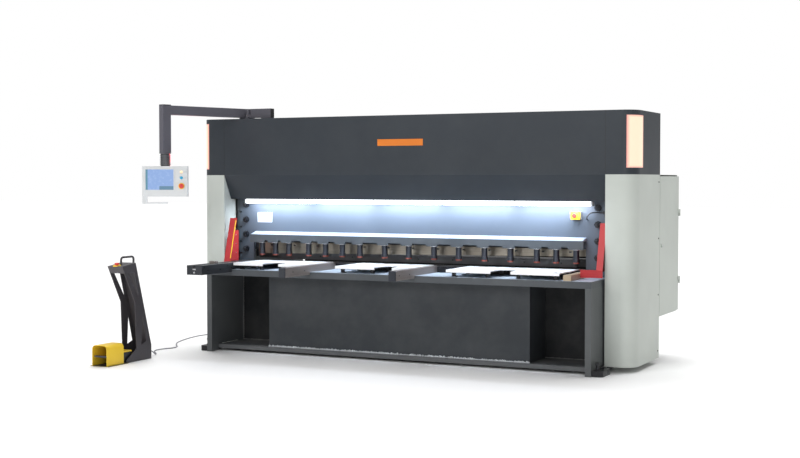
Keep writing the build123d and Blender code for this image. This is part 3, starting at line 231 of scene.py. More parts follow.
def make_edge_group():
    """Mask of convex and concave edges, broken up by noise, for wear and a painted highlight on
    edges.
    """
    group, given, result = new_group("edge_wear_and_highlight", ("Edge",), Width=0.003, Breakup=0.5)
    bevel = node(group, "ShaderNodeBevel", samples=4, Radius=given["Width"])
    flat = node(group, "ShaderNodeNewGeometry")
    dot = node(group, "ShaderNodeVectorMath", operation="DOT_PRODUCT",
               i0=bevel.outputs["Normal"], i1=flat.outputs["Normal"])
    turn = ranged(group, dot.outputs["Value"], 0.0, 1.0, 0.995, 0.8)
    least = maths(group, "SUBTRACT", 1.0, given["Breakup"])
    spread = ranged(group, noise(group, 22.0, 3.0), least, 1.0, 0.35, 0.65)
    group.links.new(maths(group, "MULTIPLY", turn, spread, use_clamp=True), result["Edge"])
    return group


def make_dust_group():
    """Mask of dust and handling marks: more on faces that look up, patchy everywhere."""
    group, given, result = new_group("dust", ("Dust",), Amount=0.3)
    flat = node(group, "ShaderNodeNewGeometry")
    normal = node(group, "ShaderNodeSeparateXYZ", i0=flat.outputs["Normal"])
    up = ranged(group, normal.outputs["Z"], 0.25, 1.0, 0.2, 1.0)
    patch = ranged(group, noise(group, 3.1, 6.0, 0.6), 0.0, 1.0, 0.42, 0.75)
    film = maths(group, "MULTIPLY", up, patch)
    group.links.new(maths(group, "MULTIPLY", film, given["Amount"], use_clamp=True),
                    result["Dust"])
    return group


def make_brush_group():
    """Grinding lines: noise stretched along one axis of the piece."""
    group, given, result = new_group("ground_lines", ("Lines",), Stretch=(4, 260, 260))
    scaled = node(group, "ShaderNodeVectorMath", operation="MULTIPLY", i0=place_on(group),
                  i1=given["Stretch"])
    group.links.new(noise(group, 1.0, 4.0, 0.65, scaled.outputs[0]), result["Lines"])
    return group


GRAIN = make_grain_group()
EDGE = make_edge_group()
DUST = make_dust_group()
BRUSH = make_brush_group()


# ---------------- materials
# The ends of what the drift and the ground lines are taken to span.
DRIFT = (0.3, 0.7)
LINES = (0.25, 0.75)


def use(tree, group, **values):
    """Outputs of a node group, placed in a material with its own values."""
    return node(tree, "ShaderNodeGroup", node_tree=group, **values).outputs


def blank(name, **values):
    """Material, its tree and its Principled shader's inputs, with constants set on those."""
    material = bpy.data.materials.new(name)
    material.use_nodes = True
    shader = material.node_tree.nodes["Principled BSDF"].inputs
    for key, value in values.items():
        shader[key.replace("_", " ")].default_value = value
    return material, material.node_tree, shader


def rgba(colour):
    """Colour with full alpha."""
    return (*colour, 1.0)


def tinted(colour, factor):
    """Colour made darker or lighter, with full alpha."""
    return rgba(tuple(min(1.0, c * factor) for c in colour))


def mixed(tree, mask, low, high):
    """Colour that goes from low to high with a mask; either may be a socket or a colour."""
    return node(tree, "ShaderNodeMix", data_type="RGBA", i0=mask, i6=low, i7=high).outputs[2]


def toned(tree, value, limits, colour, dark, light):
    """Colour that drifts between two tints of itself as a value goes between its limits."""
    return mixed(tree, ranged(tree, value, 0.0, 1.0, *limits), tinted(colour, dark),
                 tinted(colour, light))


def surfaced(tree, shader, colour, rough, height, depth):
    """Give the shader its colour and roughness, and its normal from a height."""
    bump = node(tree, "ShaderNodeBump", Distance=depth, Strength=1.0, Height=height)
    for label, source in (("Base Color", colour), ("Roughness", rough),
                          ("Normal", bump.outputs[0])):
        tree.links.new(source, shader[label])


def axis_mask(axis, inner, outer, absolute=False):
    """Builder of a mask: 0 at inner and 1 at outer along an axis of the piece."""
    def build(tree):
        value = node(tree, "ShaderNodeSeparateXYZ", i0=place_on(tree)).outputs[axis]
        if absolute:
            value = node(tree, "ShaderNodeMath", operation="ABSOLUTE", i0=value).outputs[0]
        return ranged(tree, value, 0.0, 1.0, inner, outer)
    return build


def level(axis, place, turned=False):
    """Builder of a mask: 1 past a place along an axis of the piece, or before it when turned."""
    half = -0.0004 if turned else 0.0004
    return axis_mask(axis, place - half, place + half)


def joined(operation, *masks):
    """Builder of two masks made one, by MULTIPLY (both) or MAXIMUM (either)."""
    return lambda tree: maths(tree, operation, masks[0](tree), masks[1](tree))


def paint(name, colour, rough=0.45, grain=0.0022, depth=0.00006, edge=1.5, dust=0.2,
          dust_colour=(0.5, 0.49, 0.46), gloss=0.4, other=None):
    """Sprayed or powder paint: orange peel, drifting tone, lighter edges (wear and painted
    highlight), a little dust.

    A second colour may be given with the mask of the place that has it.
    """
    material, tree, shader = blank(name, Specular_IOR_Level=gloss)
    grains = use(tree, GRAIN, Size=grain, Drift_Size=0.6)
    base = toned(tree, grains["Drift"], DRIFT, colour, 0.93, 1.06)
    if other is not None:
        base = mixed(tree, other[1](tree), base, rgba(other[0]))
    edges = use(tree, EDGE, Width=0.0025, Breakup=0.45)
    # Lighter edges: wear, and a painted highlight where the edges catch the light.
    worn_and_highlit = mixed(tree, edges["Edge"], base, tinted(colour, edge))
    film = use(tree, DUST, Amount=dust)
    surfaced(tree, shader, mixed(tree, film["Dust"], worn_and_highlit, rgba(dust_colour)),
             ranged(tree, grains["Drift"], rough - 0.05, rough + 0.06, *DRIFT),
             grains["Height"], depth)
    return material


def steel(name, colour, rough=0.35, stretch=(4, 260, 260), stain=0.3,
          stain_colour=(0.2, 0.16, 0.12), metallic=1.0):
    """Ground or drawn steel: lines along one axis, oily patches and brighter edges (wear and
    painted highlight).
    """
    material, tree, shader = blank(name, Metallic=metallic)
    lines = use(tree, BRUSH, Stretch=stretch)["Lines"]
    film = use(tree, DUST, Amount=stain)
    stained = mixed(tree, film["Dust"], toned(tree, lines, LINES, colour, 0.8, 1.15),
                    rgba(stain_colour))
    edges = use(tree, EDGE, Width=0.0015, Breakup=0.3)
    # Brighter edges: wear, and a painted highlight where the edges catch the light.
    surfaced(tree, shader, mixed(tree, edges["Edge"], stained, tinted(colour, 1.5)),
             ranged(tree, lines, rough - 0.08, rough + 0.1, *LINES), lines, 0.00003)
    return material


def plastic(name, colour, rough=0.35):
    """Moulded plastic: a faint texture and slight drift of gloss."""
    material, tree, shader = blank(name)
    grains = use(tree, GRAIN, Size=0.0012, Drift_Size=0.05)
    film = use(tree, DUST, Amount=0.08)
    surfaced(tree, shader, mixed(tree, film["Dust"],
                                 toned(tree, grains["Drift"], DRIFT, colour, 0.95, 1.05),
                                 (0.6, 0.58, 0.55, 1.0)),
             ranged(tree, grains["Drift"], rough - 0.05, rough + 0.07, *DRIFT),
             grains["Height"], 0.00002)
    return material


def glowing(name, core, fringe, mask, strength, base=(0.8, 0.8, 0.8)):
    """Lit diffuser whose colour goes from core to fringe with a mask."""
    material, tree, shader = blank(name, Roughness=0.4, Emission_Strength=strength)
    grains = use(tree, GRAIN, Size=0.004, Drift_Size=0.3)
    tree.links.new(toned(tree, grains["Drift"], (0.0, 1.0), base, 1.0, 1.1),
                   shader["Base Color"])
    tree.links.new(mixed(tree, mask(tree), rgba(core), rgba(fringe)), shader["Emission Color"])
    return material


def make_screen():
    """Control display: a pale blue field with a darker strip at the left and a bar below."""
    material, tree, shader = blank("screen_display", Roughness=0.18, Emission_Strength=1.0)
    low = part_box("panel_screen")[0]
    strip = axis_mask("X", low[0] + 0.018, low[0] + 0.016)
    bar = joined("MULTIPLY", axis_mask("Z", low[2] + 0.032, low[2] + 0.03),
                 axis_mask("X", low[0] + 0.1, low[0] + 0.102))
    marks = ranged(tree, noise(tree, 46.0, 2.0), 0.0, 0.35, 0.52, 0.72)
    shown = mixed(tree, marks, (0.27, 0.41, 0.72, 1.0), (0.45, 0.6, 0.85, 1.0))
    shown = mixed(tree, strip(tree), shown, (0.12, 0.28, 0.36, 1.0))
    shown = mixed(tree, bar(tree), shown, (0.12, 0.24, 0.34, 1.0))
    tree.links.new(shown, shader["Emission Color"])
    tree.links.new(mixed(tree, marks, (0.02, 0.025, 0.04, 1.0), (0.03, 0.035, 0.05, 1.0)),
                   shader["Base Color"])
    return material


# Where a piece's second colour starts.
TABLE_TOP_Z = 0.732
# Y where the painted reflection on the table's top ends; behind it the top keeps its dark grey.
TABLE_REFLECTION_END_Y = -0.37
FLOOR_PLATE_Z = 0.0572
HOOD_KNEE_Z = 1.5535
ARM_TOP_Z = 2.1502
PANEL_TOP_Z = 1.6305
SWITCH_SOLE_Z = 0.0034
SWITCH_MOUTH_Y = -1.8345
SWITCH_MOUTH_Z = 0.09
DARK = (0.014, 0.015, 0.018)
FRAME_GREY = paint("frame_grey", (0.055, 0.063, 0.072), rough=0.42, edge=1.8)
LEG_GREY = paint("leg_grey", (0.085, 0.092, 0.096), rough=0.42, edge=1.5)
# The ledge strip's pale blue-grey is a painted highlight: the light bar's reflection along the
# guard's top edge.
LEDGE_HIGHLIGHT_GREY = paint("ledge_highlight_grey", (0.3, 0.34, 0.4), rough=0.35, edge=1.3, dust=0.05)
# The pale blue-grey on the table's top face, in front of its Y limit, is a painted reflection of
# the lights.
TABLE_GREY = paint("table_grey", (0.06, 0.067, 0.075), rough=0.38, edge=1.7, dust=0.12,
                   other=((0.34, 0.4, 0.48), joined("MULTIPLY", level("Z", TABLE_TOP_Z - 0.0008),
                                                    level("Y", TABLE_REFLECTION_END_Y, True))))
# The recess plates' very dark grey is painted shade of the recess; below the floor plate's level
# they are a lighter grey.
RECESS_SHADE_GREY = paint("recess_shade_grey", (0.015, 0.016, 0.018), rough=0.6, edge=1.5, gloss=0.2,
                    other=((0.11, 0.115, 0.12), level("Z", FLOOR_PLATE_Z, True)))
APRON_GREY = paint("apron_grey", (0.036, 0.041, 0.047), rough=0.5, edge=1.6, gloss=0.3)
# Below the knee the hood is painted a darker grey: painted shade on the slope that faces down.
HOOD_GREY = paint("hood_grey", (0.03, 0.037, 0.046), rough=0.42, grain=0.003, edge=1.8, dust=0.06,
                  gloss=0.3, other=((0.02, 0.0255, 0.033), level("Z", HOOD_KNEE_Z, True)))
BEAM_GREY = paint("beam_grey", (0.068, 0.083, 0.106), rough=0.5, edge=1.2, dust=0.03)
ARM_CAP = paint("arm_cap", (0.016, 0.02, 0.03), rough=0.35, edge=2.0)
PENDANT_GREY = paint("pendant_grey", (0.1, 0.098, 0.12), rough=0.4, edge=1.6, dust=0.08,
                     other=(DARK, level("Z", ARM_TOP_Z)))
COVER = paint("cover_green_grey", (0.55, 0.585, 0.545), rough=0.5, grain=0.0035, depth=0.00012,
              edge=1.12, dust=0.05, dust_colour=(0.45, 0.45, 0.42), gloss=0.35)
PANEL_WHITE = paint("panel_white", (0.68, 0.7, 0.71), rough=0.4, edge=1.05, dust=0.04,
                    other=((0.035, 0.037, 0.045), level("Z", PANEL_TOP_Z)))
PANEL_GREY = paint("panel_grey", (0.4, 0.41, 0.42), rough=0.4, edge=1.2, dust=0.05)
TAG_GREY = paint("tag_grey", (0.6, 0.62, 0.64), rough=0.35, edge=1.0, dust=0.0)
RED = paint("guard_red", (0.47, 0.035, 0.04), rough=0.38, edge=1.6, dust=0.05, gloss=0.35)
YELLOW = plastic("safety_yellow", (0.93, 0.58, 0.02), rough=0.4)
SWITCH_YELLOW = paint("switch_yellow", (1.0, 0.66, 0.04), rough=0.36, edge=1.15, dust=0.04,
                      other=(DARK, joined("MAXIMUM", level("Z", SWITCH_SOLE_Z, True),
                                          joined("MULTIPLY", level("Y", SWITCH_MOUTH_Y),
                                                 level("Z", SWITCH_MOUTH_Z, True)))))
STATION = paint("station_dark", (0.062, 0.057, 0.064), rough=0.45, edge=2.0, dust=0.1)
BLACK = paint("black_steel", (0.008, 0.009, 0.012), rough=0.3, edge=2.5, dust=0.05)
BADGE = paint("badge_orange", (0.75, 0.2, 0.015), rough=0.3, edge=1.2, dust=0.02)
ZINC = steel("zinc_screws", (0.62, 0.63, 0.65), rough=0.28, stretch=(300, 300, 300), stain=0.15)
WELD = steel("weld_bead", (0.2, 0.2, 0.2), rough=0.5, stretch=(300, 300, 300), stain=0.4,
             metallic=0.7)
SEALANT = plastic("sealant", (0.5, 0.52, 0.54), rough=0.4)
PLUNGER = steel("plunger_steel", (0.045, 0.05, 0.062), rough=0.36, stretch=(260, 260, 5),
                stain=0.15, metallic=0.85)
PLATE = steel("bright_plate", (0.9, 0.94, 1.0), rough=0.34, stretch=(5, 220, 220), stain=0.06,
              stain_colour=(0.6, 0.62, 0.66), metallic=0.1)
ARM_STEEL = steel("arm_steel", (0.29, 0.255, 0.238), rough=0.45, stretch=(220, 5, 220), stain=0.4,
                  stain_colour=(0.2, 0.165, 0.15), metallic=0.45)
STUB = steel("stub_steel", (0.42, 0.33, 0.23), rough=0.4, stretch=(220, 5, 220), stain=0.25,
             metallic=0.5)
SQUARING = steel("squaring_steel", (0.055, 0.06, 0.07), rough=0.4, stretch=(220, 5, 220),
                 stain=0.2, metallic=0.6)
BLADE = steel("blade_steel", (0.26, 0.232, 0.19), rough=0.34, stain=0.3, metallic=0.9)
LOW_BLADE = steel("lower_blade_steel", (0.09, 0.09, 0.095), rough=0.35, stain=0.3, metallic=0.9)
GAUGE_GREY = paint("gauge_grey", (0.08, 0.08, 0.085), rough=0.5, edge=1.4)
CHROME = steel("chrome_rod", (0.75, 0.76, 0.78), rough=0.12, stretch=(300, 300, 20), stain=0.05)
CAST = paint("cast_grey", (0.16, 0.17, 0.18), rough=0.6, grain=0.005, depth=0.0004, edge=1.5)
LABEL = paint("label_white", (0.5, 0.52, 0.54), rough=0.3, edge=1.0, dust=0.02)
SIGNAL_RED = plastic("stop_red", (0.7, 0.04, 0.03), rough=0.28)
BUTTON_BLUE = plastic("button_blue", (0.0, 0.36, 0.62), rough=0.25)
CABLE = plastic("cable_black", (0.01, 0.01, 0.012), rough=0.5)
CORD = plastic("cord_grey", (0.22, 0.22, 0.25), rough=0.5)
PAD = plastic("pad_red_brown", (0.2, 0.04, 0.025), rough=0.6)
PEDAL = paint("pedal_casting", (0.06, 0.06, 0.07), rough=0.55, grain=0.004, depth=0.0003, edge=1.8)
LAMP_LOW, LAMP_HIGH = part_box("corner_lamps")
# Where a glow starts and where it is full.
LAMP_INNER_EDGE = (1.968, 1.944)
BAR_GLOW_Z = (1.325, 1.305)
START_GLOW_Z = (1.58, 1.566)
LAMP_RIM = joined("MAXIMUM",
                  joined("MAXIMUM", axis_mask("X", *LAMP_INNER_EDGE, absolute=True),
                         axis_mask("Y", LAMP_HIGH[1] - 0.02, LAMP_HIGH[1] + 0.004)),
                  joined("MAXIMUM", axis_mask("Z", LAMP_LOW[2] + 0.018, LAMP_LOW[2] - 0.004),
                         axis_mask("Z", LAMP_HIGH[2] - 0.018, LAMP_HIGH[2] + 0.004)))
LAMP = glowing("lamp_diffuser", (1.0, 0.86, 0.6), (1.0, 0.24, 0.2), LAMP_RIM, 0.78,
               base=(0.25, 0.22, 0.2))
LIGHT = glowing("light_white", (0.93, 0.96, 1.0), (0.8, 0.88, 1.0),
                axis_mask("Z", *BAR_GLOW_Z), 3.0)
START_LENS = glowing("start_lens", (1.0, 0.82, 0.5), (1.0, 0.55, 0.2),
                     axis_mask("Z", *START_GLOW_Z), 0.8, base=(0.3, 0.25, 0.2))
SCREEN = make_screen()

FINISHES = {
    FRAME_GREY: ("side_frame_left", "side_frame_right", "finger_guard", "cutting_beam"),
    LEG_GREY: ("table_legs",),
    TABLE_GREY: ("table_plate",),
    APRON_GREY: ("apron",),
    RECESS_SHADE_GREY: ("recess_plates",),
    HOOD_GREY: ("hood_front", "hood_ends"),
    BEAM_GREY: ("hold_down_beam",),
    ARM_CAP: ("arm_end_caps",),
    PENDANT_GREY: ("pendant_mast", "pendant_arm"),
    COVER: ("side_cover_left", "side_cover_right", "rear_box_left", "cabinet_shell",
            "cabinet_door"),
    PANEL_WHITE: ("panel_housing",),
    RED: ("throat_guards",),
    YELLOW: ("estop_housings",),
    SWITCH_YELLOW: ("foot_switch",),
    STATION: ("pedal_station",),
    BLACK: ("foot_ears", "levelling_bolts", "clamp_bolts", "blade_seat", "plate_posts",
            "backgauge_motor", "hold_down_cylinders"),
    PLUNGER: ("hold_down_plungers",),
    PLATE: ("sheet_plates",),
    ARM_STEEL: ("support_arms", "squaring_stop"),
    STUB: ("stub_rail",),
    SQUARING: ("squaring_arm",),
    BLADE: ("upper_blade",),
    LOW_BLADE: ("lower_blade",),
    GAUGE_GREY: ("backgauge_beam", "backgauge_rails", "rear_slide"),
    CHROME: ("cylinder_rods", "backgauge_screw"),
    CAST: ("main_cylinders", "power_pack"),
    LABEL: ("label_plate",),
    SIGNAL_RED: ("panel_stop_button", "beam_stop_button", "station_stop_button"),
    BUTTON_BLUE: ("reset_button",),
    START_LENS: ("start_button",),
    CABLE: ("stop_lead", "cable_glands"),
    CORD: ("pedal_cord",),
    PAD: ("hold_down_pads",),
    PEDAL: ("treadle",),
    LAMP: ("corner_lamps",),
    LIGHT: ("light_bar",),
    SCREEN: ("panel_screen",),
}
for finish, members in FINISHES.items():
    for name in members:
        nodes[name].data.materials.clear()
        nodes[name].data.materials.append(finish)


# ---------------- pedal cord
CORD_RADIUS = 0.0047
CORD_ON_FLOOR = (
    (-2.018, -1.268), (-2.072, -1.19), (-2.152, -1.118), (-2.196, -1.022), (-2.186, -0.924),
    (-2.14, -0.842), (-2.16, -0.752), (-2.232, -0.668), (-2.304, -0.572), (-2.362, -0.462),
    (-2.402, -0.338), (-2.436, -0.214), (-2.46, -0.086), (-2.474, 0.044), (-2.456, 0.168),
    (-2.386, 0.27), (-2.284, 0.338), (-2.164, 0.376), (-2.04, 0.392),
)
CORD_POINTS = (
    (-1.993, -1.432, 0.061), (-1.993, -1.388, 0.061), (-2.0, -1.332, 0.036),
    *((x, y, CORD_RADIUS) for x, y in CORD_ON_FLOOR),
    (-1.944, 0.388, 0.016), (-1.884, 0.382, 0.066), (-1.836, 0.38, 0.092), (-1.796, 0.38, 0.092),
)


def make_cord():
    """Round sheathed cord on the floor, from the pedal station to the left side frame."""
    curve = bpy.data.curves.new("pedal_lead", "CURVE")
    curve.dimensions = "3D"
    curve.bevel_depth = CORD_RADIUS
    curve.bevel_resolution = 4
    curve.use_fill_caps = True
    spline = curve.splines.new("NURBS")
    spline.points.add(len(CORD_POINTS) - 1)
    for point, place in zip(spline.points, CORD_POINTS):
        point.co = (*place, 1.0)
    spline.order_u = 3
    spline.use_endpoint_u = True
    spline.resolution_u = 12
    lead = bpy.data.objects.new("pedal_lead", curve)
    link(lead, CORD)
    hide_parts("pedal_cord")


make_cord()


# ---------------- repeated small pieces
BEAD_SEED = 7


def tree_with(name, **sizes):
    """Geometry tree with an input geometry, sizes and a material, and one output geometry."""
    tree = bpy.data.node_groups.new(name, "GeometryNodeTree")
    add = tree.interface.new_socket
    add("Geometry", in_out="INPUT", socket_type="NodeSocketGeometry")
    for label, value in sizes.items():
        kind = "NodeSocketInt" if isinstance(value, int) else "NodeSocketFloat"
        add(label, in_out="INPUT", socket_type=kind).default_value = value
    add("Material", in_out="INPUT", socket_type="NodeSocketMaterial")
    add("Geometry", in_out="OUTPUT", socket_type="NodeSocketGeometry")
    start, end = tree.nodes.new("NodeGroupInput"), tree.nodes.new("NodeGroupOutput")
    return tree, start.outputs, end.inputs


def finish_tree(tree, given, result, geometry, smooth=False):
    """Realize Instances and Set Material at the end of a geometry tree."""
    last = node(tree, "GeometryNodeRealizeInstances", i0=geometry).outputs[0]
    if smooth:
        last = node(tree, "GeometryNodeSetShadeSmooth", i0=last).outputs[0]
    painted = node(tree, "GeometryNodeSetMaterial", i0=last, Material=given["Material"])
    tree.links.new(painted.outputs[0], result[0])
    return tree


def make_fastener_tree():
    """Heads with a sunk recess, or rings where the recess goes right down.

    Each head's Z follows the facing attribute of its spot.
    """
    tree, given, result = tree_with("fasteners", Radius=0.006, Height=0.004, Recess=0.5,
                                    Depth=0.6, Sides=16)
    head = node(tree, "GeometryNodeMeshCylinder", Vertices=given["Sides"],
                Radius=given["Radius"], Depth=given["Height"])
    lift = node(tree, "ShaderNodeCombineXYZ", Z=maths(tree, "MULTIPLY", given["Height"], 0.5))
    moved = node(tree, "GeometryNodeTransform", Geometry=head.outputs["Mesh"],
                 Translation=lift.outputs[0])
    flat = node(tree, "GeometryNodeInputNormal")
    normal = node(tree, "ShaderNodeSeparateXYZ", i0=flat.outputs[0])
    upward = node(tree, "FunctionNodeCompare", data_type="FLOAT", operation="GREATER_THAN",
                  A=normal.outputs["Z"], B=0.9)
    inset = node(tree, "GeometryNodeExtrudeMesh", mode="FACES", Mesh=moved.outputs[0],
                 Selection=upward.outputs[0], Offset_Scale=0.0, Individual=False)
    shrink = node(tree, "GeometryNodeScaleElements", Geometry=inset.outputs["Mesh"],
                  Selection=inset.outputs["Top"], Scale=given["Recess"])
    depth = maths(tree, "MULTIPLY", given["Height"], given["Depth"])
    sink = node(tree, "GeometryNodeExtrudeMesh", mode="FACES", Mesh=shrink.outputs[0],
                Selection=inset.outputs["Top"], Individual=False,
                Offset_Scale=maths(tree, "MULTIPLY", depth, -1.0))
    way = node(tree, "GeometryNodeInputNamedAttribute", data_type="FLOAT_VECTOR",
               Name="facing")
    turn = node(tree, "FunctionNodeAlignRotationToVector", axis="Z", Vector=way.outputs[0])
    heads = node(tree, "GeometryNodeInstanceOnPoints", Points=given["Geometry"],
                 Instance=sink.outputs["Mesh"], Rotation=turn.outputs[0])
    return finish_tree(tree, given, result, heads.outputs[0])


def make_bead_tree():
    """Weld bead or sealant: overlapping drops along a line, uneven in size."""
    tree, given, result = tree_with("bead_run", Radius=0.003, Pitch=0.006, Unevenness=0.3)
    line = node(tree, "GeometryNodeMeshToCurve", Mesh=given["Geometry"])
    points = node(tree, "GeometryNodeCurveToPoints", mode="LENGTH", Curve=line.outputs[0],
                  Length=given["Pitch"])
    drop = node(tree, "GeometryNodeMeshIcoSphere", Radius=given["Radius"])
    chance = node(tree, "FunctionNodeRandomValue", data_type="FLOAT", Seed=BEAD_SEED)
    limits = [socket for socket in chance.inputs if socket.type == "VALUE"]
    for operation, limit in zip(("SUBTRACT", "ADD"), limits):
        tree.links.new(maths(tree, operation, 1.0, given["Unevenness"]), limit)
    size = [socket for socket in chance.outputs if socket.type == "VALUE"][0]
    drops = node(tree, "GeometryNodeInstanceOnPoints", Points=points.outputs["Points"],
                 Instance=drop.outputs["Mesh"], Scale=size)
    return finish_tree(tree, given, result, drops.outputs[0], smooth=True)


def make_hose_tree():
    """Round hose, pipe or wire along a route with rounded corners."""
    tree, given, result = tree_with("hose_run", Radius=0.01, Bend=0.05)
    line = node(tree, "GeometryNodeMeshToCurve", Mesh=given["Geometry"])
    rounded = node(tree, "GeometryNodeFilletCurve", mode="POLY", Count=6, Limit_Radius=True,
                   Curve=line.outputs[0], Radius=given["Bend"])
    ring = node(tree, "GeometryNodeCurvePrimitiveCircle", Resolution=12,
                Radius=given["Radius"])
    skin = node(tree, "GeometryNodeCurveToMesh", Curve=rounded.outputs[0],
                Profile_Curve=ring.outputs[0], Fill_Caps=True)
    return finish_tree(tree, given, result, skin.outputs[0], smooth=True)


FASTENERS = make_fastener_tree()
BEADS = make_bead_tree()
HOSES = make_hose_tree()


def grow(name, tree, base, material, body, **sizes):
    """Run a geometry tree on a base mesh and keep the result as a plain piece."""
    carrier = bpy.data.objects.new(name + "_source", base)
    scene.collection.objects.link(carrier)
    modifier = carrier.modifiers.new("grown", "NODES")
    modifier.node_group = tree
    named = {item.name: item.identifier for item in tree.interface.items_tree
             if item.in_out == "INPUT"}
    for label, value in sizes.items():
        modifier[named[label.replace("_", " ")]] = value
    modifier[named["Material"]] = material
    bpy.context.view_layer.update()
    seen = carrier.evaluated_get(bpy.context.evaluated_depsgraph_get())
    data = bpy.data.meshes.new_from_object(seen)
    data.name = name
    bpy.data.objects.remove(carrier)
    return link(bpy.data.objects.new(name, data), material, body)


def spots_mesh(name, spots):
    """Points with a facing attribute, as a base for the fastener tree."""
    data = bpy.data.meshes.new(name)
    data.from_pydata([place for place, _ in spots], [], [])
    facing_to = data.attributes.new("facing", "FLOAT_VECTOR", "POINT")
    for item, (_, normal) in zip(facing_to.data, spots):
        item.vector = normal
    return data


def route_mesh(name, routes):
    """Open lines as edges, as a base for the bead and hose trees."""
    points, edges = [], []
    for route in routes:
        first = len(points)
        points += route
        edges += [(first + i, first + i + 1) for i in range(len(route) - 1)]
    data = bpy.data.meshes.new(name)
    data.from_pydata(points, edges, [])
    return data


def fasteners(name, spots, material, body="frame", radius=0.006, height=0.004, recess=0.5,
              depth=0.6, sides=16):
    """Screws, rings or plugs at spots, each a place and the way that it faces."""
    return grow(name, FASTENERS, spots_mesh(name, spots), material, body, Radius=radius,
                Height=height, Recess=recess, Depth=depth, Sides=sides)


def beads(name, routes, material, body="frame", radius=0.003, pitch=0.006, unevenness=0.3):
    """Weld or sealant along routes."""
    return grow(name, BEADS, route_mesh(name, routes), material, body, Radius=radius,
                Pitch=pitch, Unevenness=unevenness)


def hoses(name, routes, material, body="frame", radius=0.01, bend=0.05):
    """Hoses or wires along routes."""
    return grow(name, HOSES, route_mesh(name, routes), material, body, Radius=radius, Bend=bend)


# ---------------- hood, covers and rear boxes
POST_X, POST_Y = -1.615, -0.425


def make_cover_fixings():
    """Screws that hold the covers, the roof and the rear of the hood."""
    low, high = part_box("side_cover_right")
    y, levels = high[1] - 0.035, row(low[2] + 0.06, high[2] - 0.06, 4)
    spots = grid(-high[0], y, levels, LEFT) + grid(high[0], y, levels, RIGHT)
    fasteners("cover_screws", spots, BLACK, radius=0.0065, height=0.003)
    low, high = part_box("hood_front")
    columns = row(-1.7, 1.7, 9)
    spots = grid(columns, (low[1] + 0.1, high[1] - 0.04), high[2], UP)
    fasteners("roof_screws", spots, BLACK, radius=0.007, height=0.0035)
    spots = grid(columns, high[1], (1.6, high[2] - 0.04), BACK)
    fasteners("rear_hood_screws", spots, BLACK, radius=0.007, height=0.0035)


def make_mast_fixings():
    """Bolts in the foot of the roof arm, and the plug in the arm's end."""
    low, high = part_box("pendant_mast")
    middle, half = (low[1] + high[1]) / 2, 0.04
    spots = grid((POST_X - half, POST_X + half), (middle - half, middle + half),
                 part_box("hood_front")[1][2] + 0.012, UP)
    fasteners("mast_bolts", spots, BLACK, radius=0.007, height=0.006, recess=0.55,
              sides=6)
    plug = ((high[0], low[1] + 0.022, high[2] - 0.078),
            (high[0] + 0.003, high[1] - 0.022, high[2] - 0.002), 0.001)
    box_piece("mast_end_plug", [plug], BLACK)


def make_rear_louvres():
    """Pressed louvres on the outer side of the left rear box."""
    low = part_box("rear_box_left")[0]
    depth, half, rise = 0.009, 0.085, 0.02
    corners = ((0, -half, 0), (0, half, 0), (0, half, rise), (0, -half, rise),
               (depth, 0.01 - half, 0.002), (depth, half - 0.01, 0.002))
    shape = bmesh.new()
    for z in row(0.55, 0.856, 10):
        for y in (low[1] + 0.16, low[1] + 0.40):
            verts = [shape.verts.new((low[0] - out, y + along, z + up))
                     for out, along, up in corners]
            for face in ((0, 3, 2, 1), (4, 5, 2, 3), (0, 1, 5, 4), (0, 4, 3), (1, 2, 5)):
                shape.faces.new([verts[i] for i in face])
    mesh_piece("box_louvres", shape, COVER)


def make_door_details():
    """Key slot in the latch of the cabinet's door."""
    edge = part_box("cabinet_door")[0][1]
    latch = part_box("side_cover_right")[1][0] + 0.0082
    slot = ((latch - 0.0012, edge + 0.036, 0.958), (latch + 0.0012, edge + 0.048, 0.962), 0.0)
    box_piece("latch_slot", [slot], BLACK, "cabinet_door")


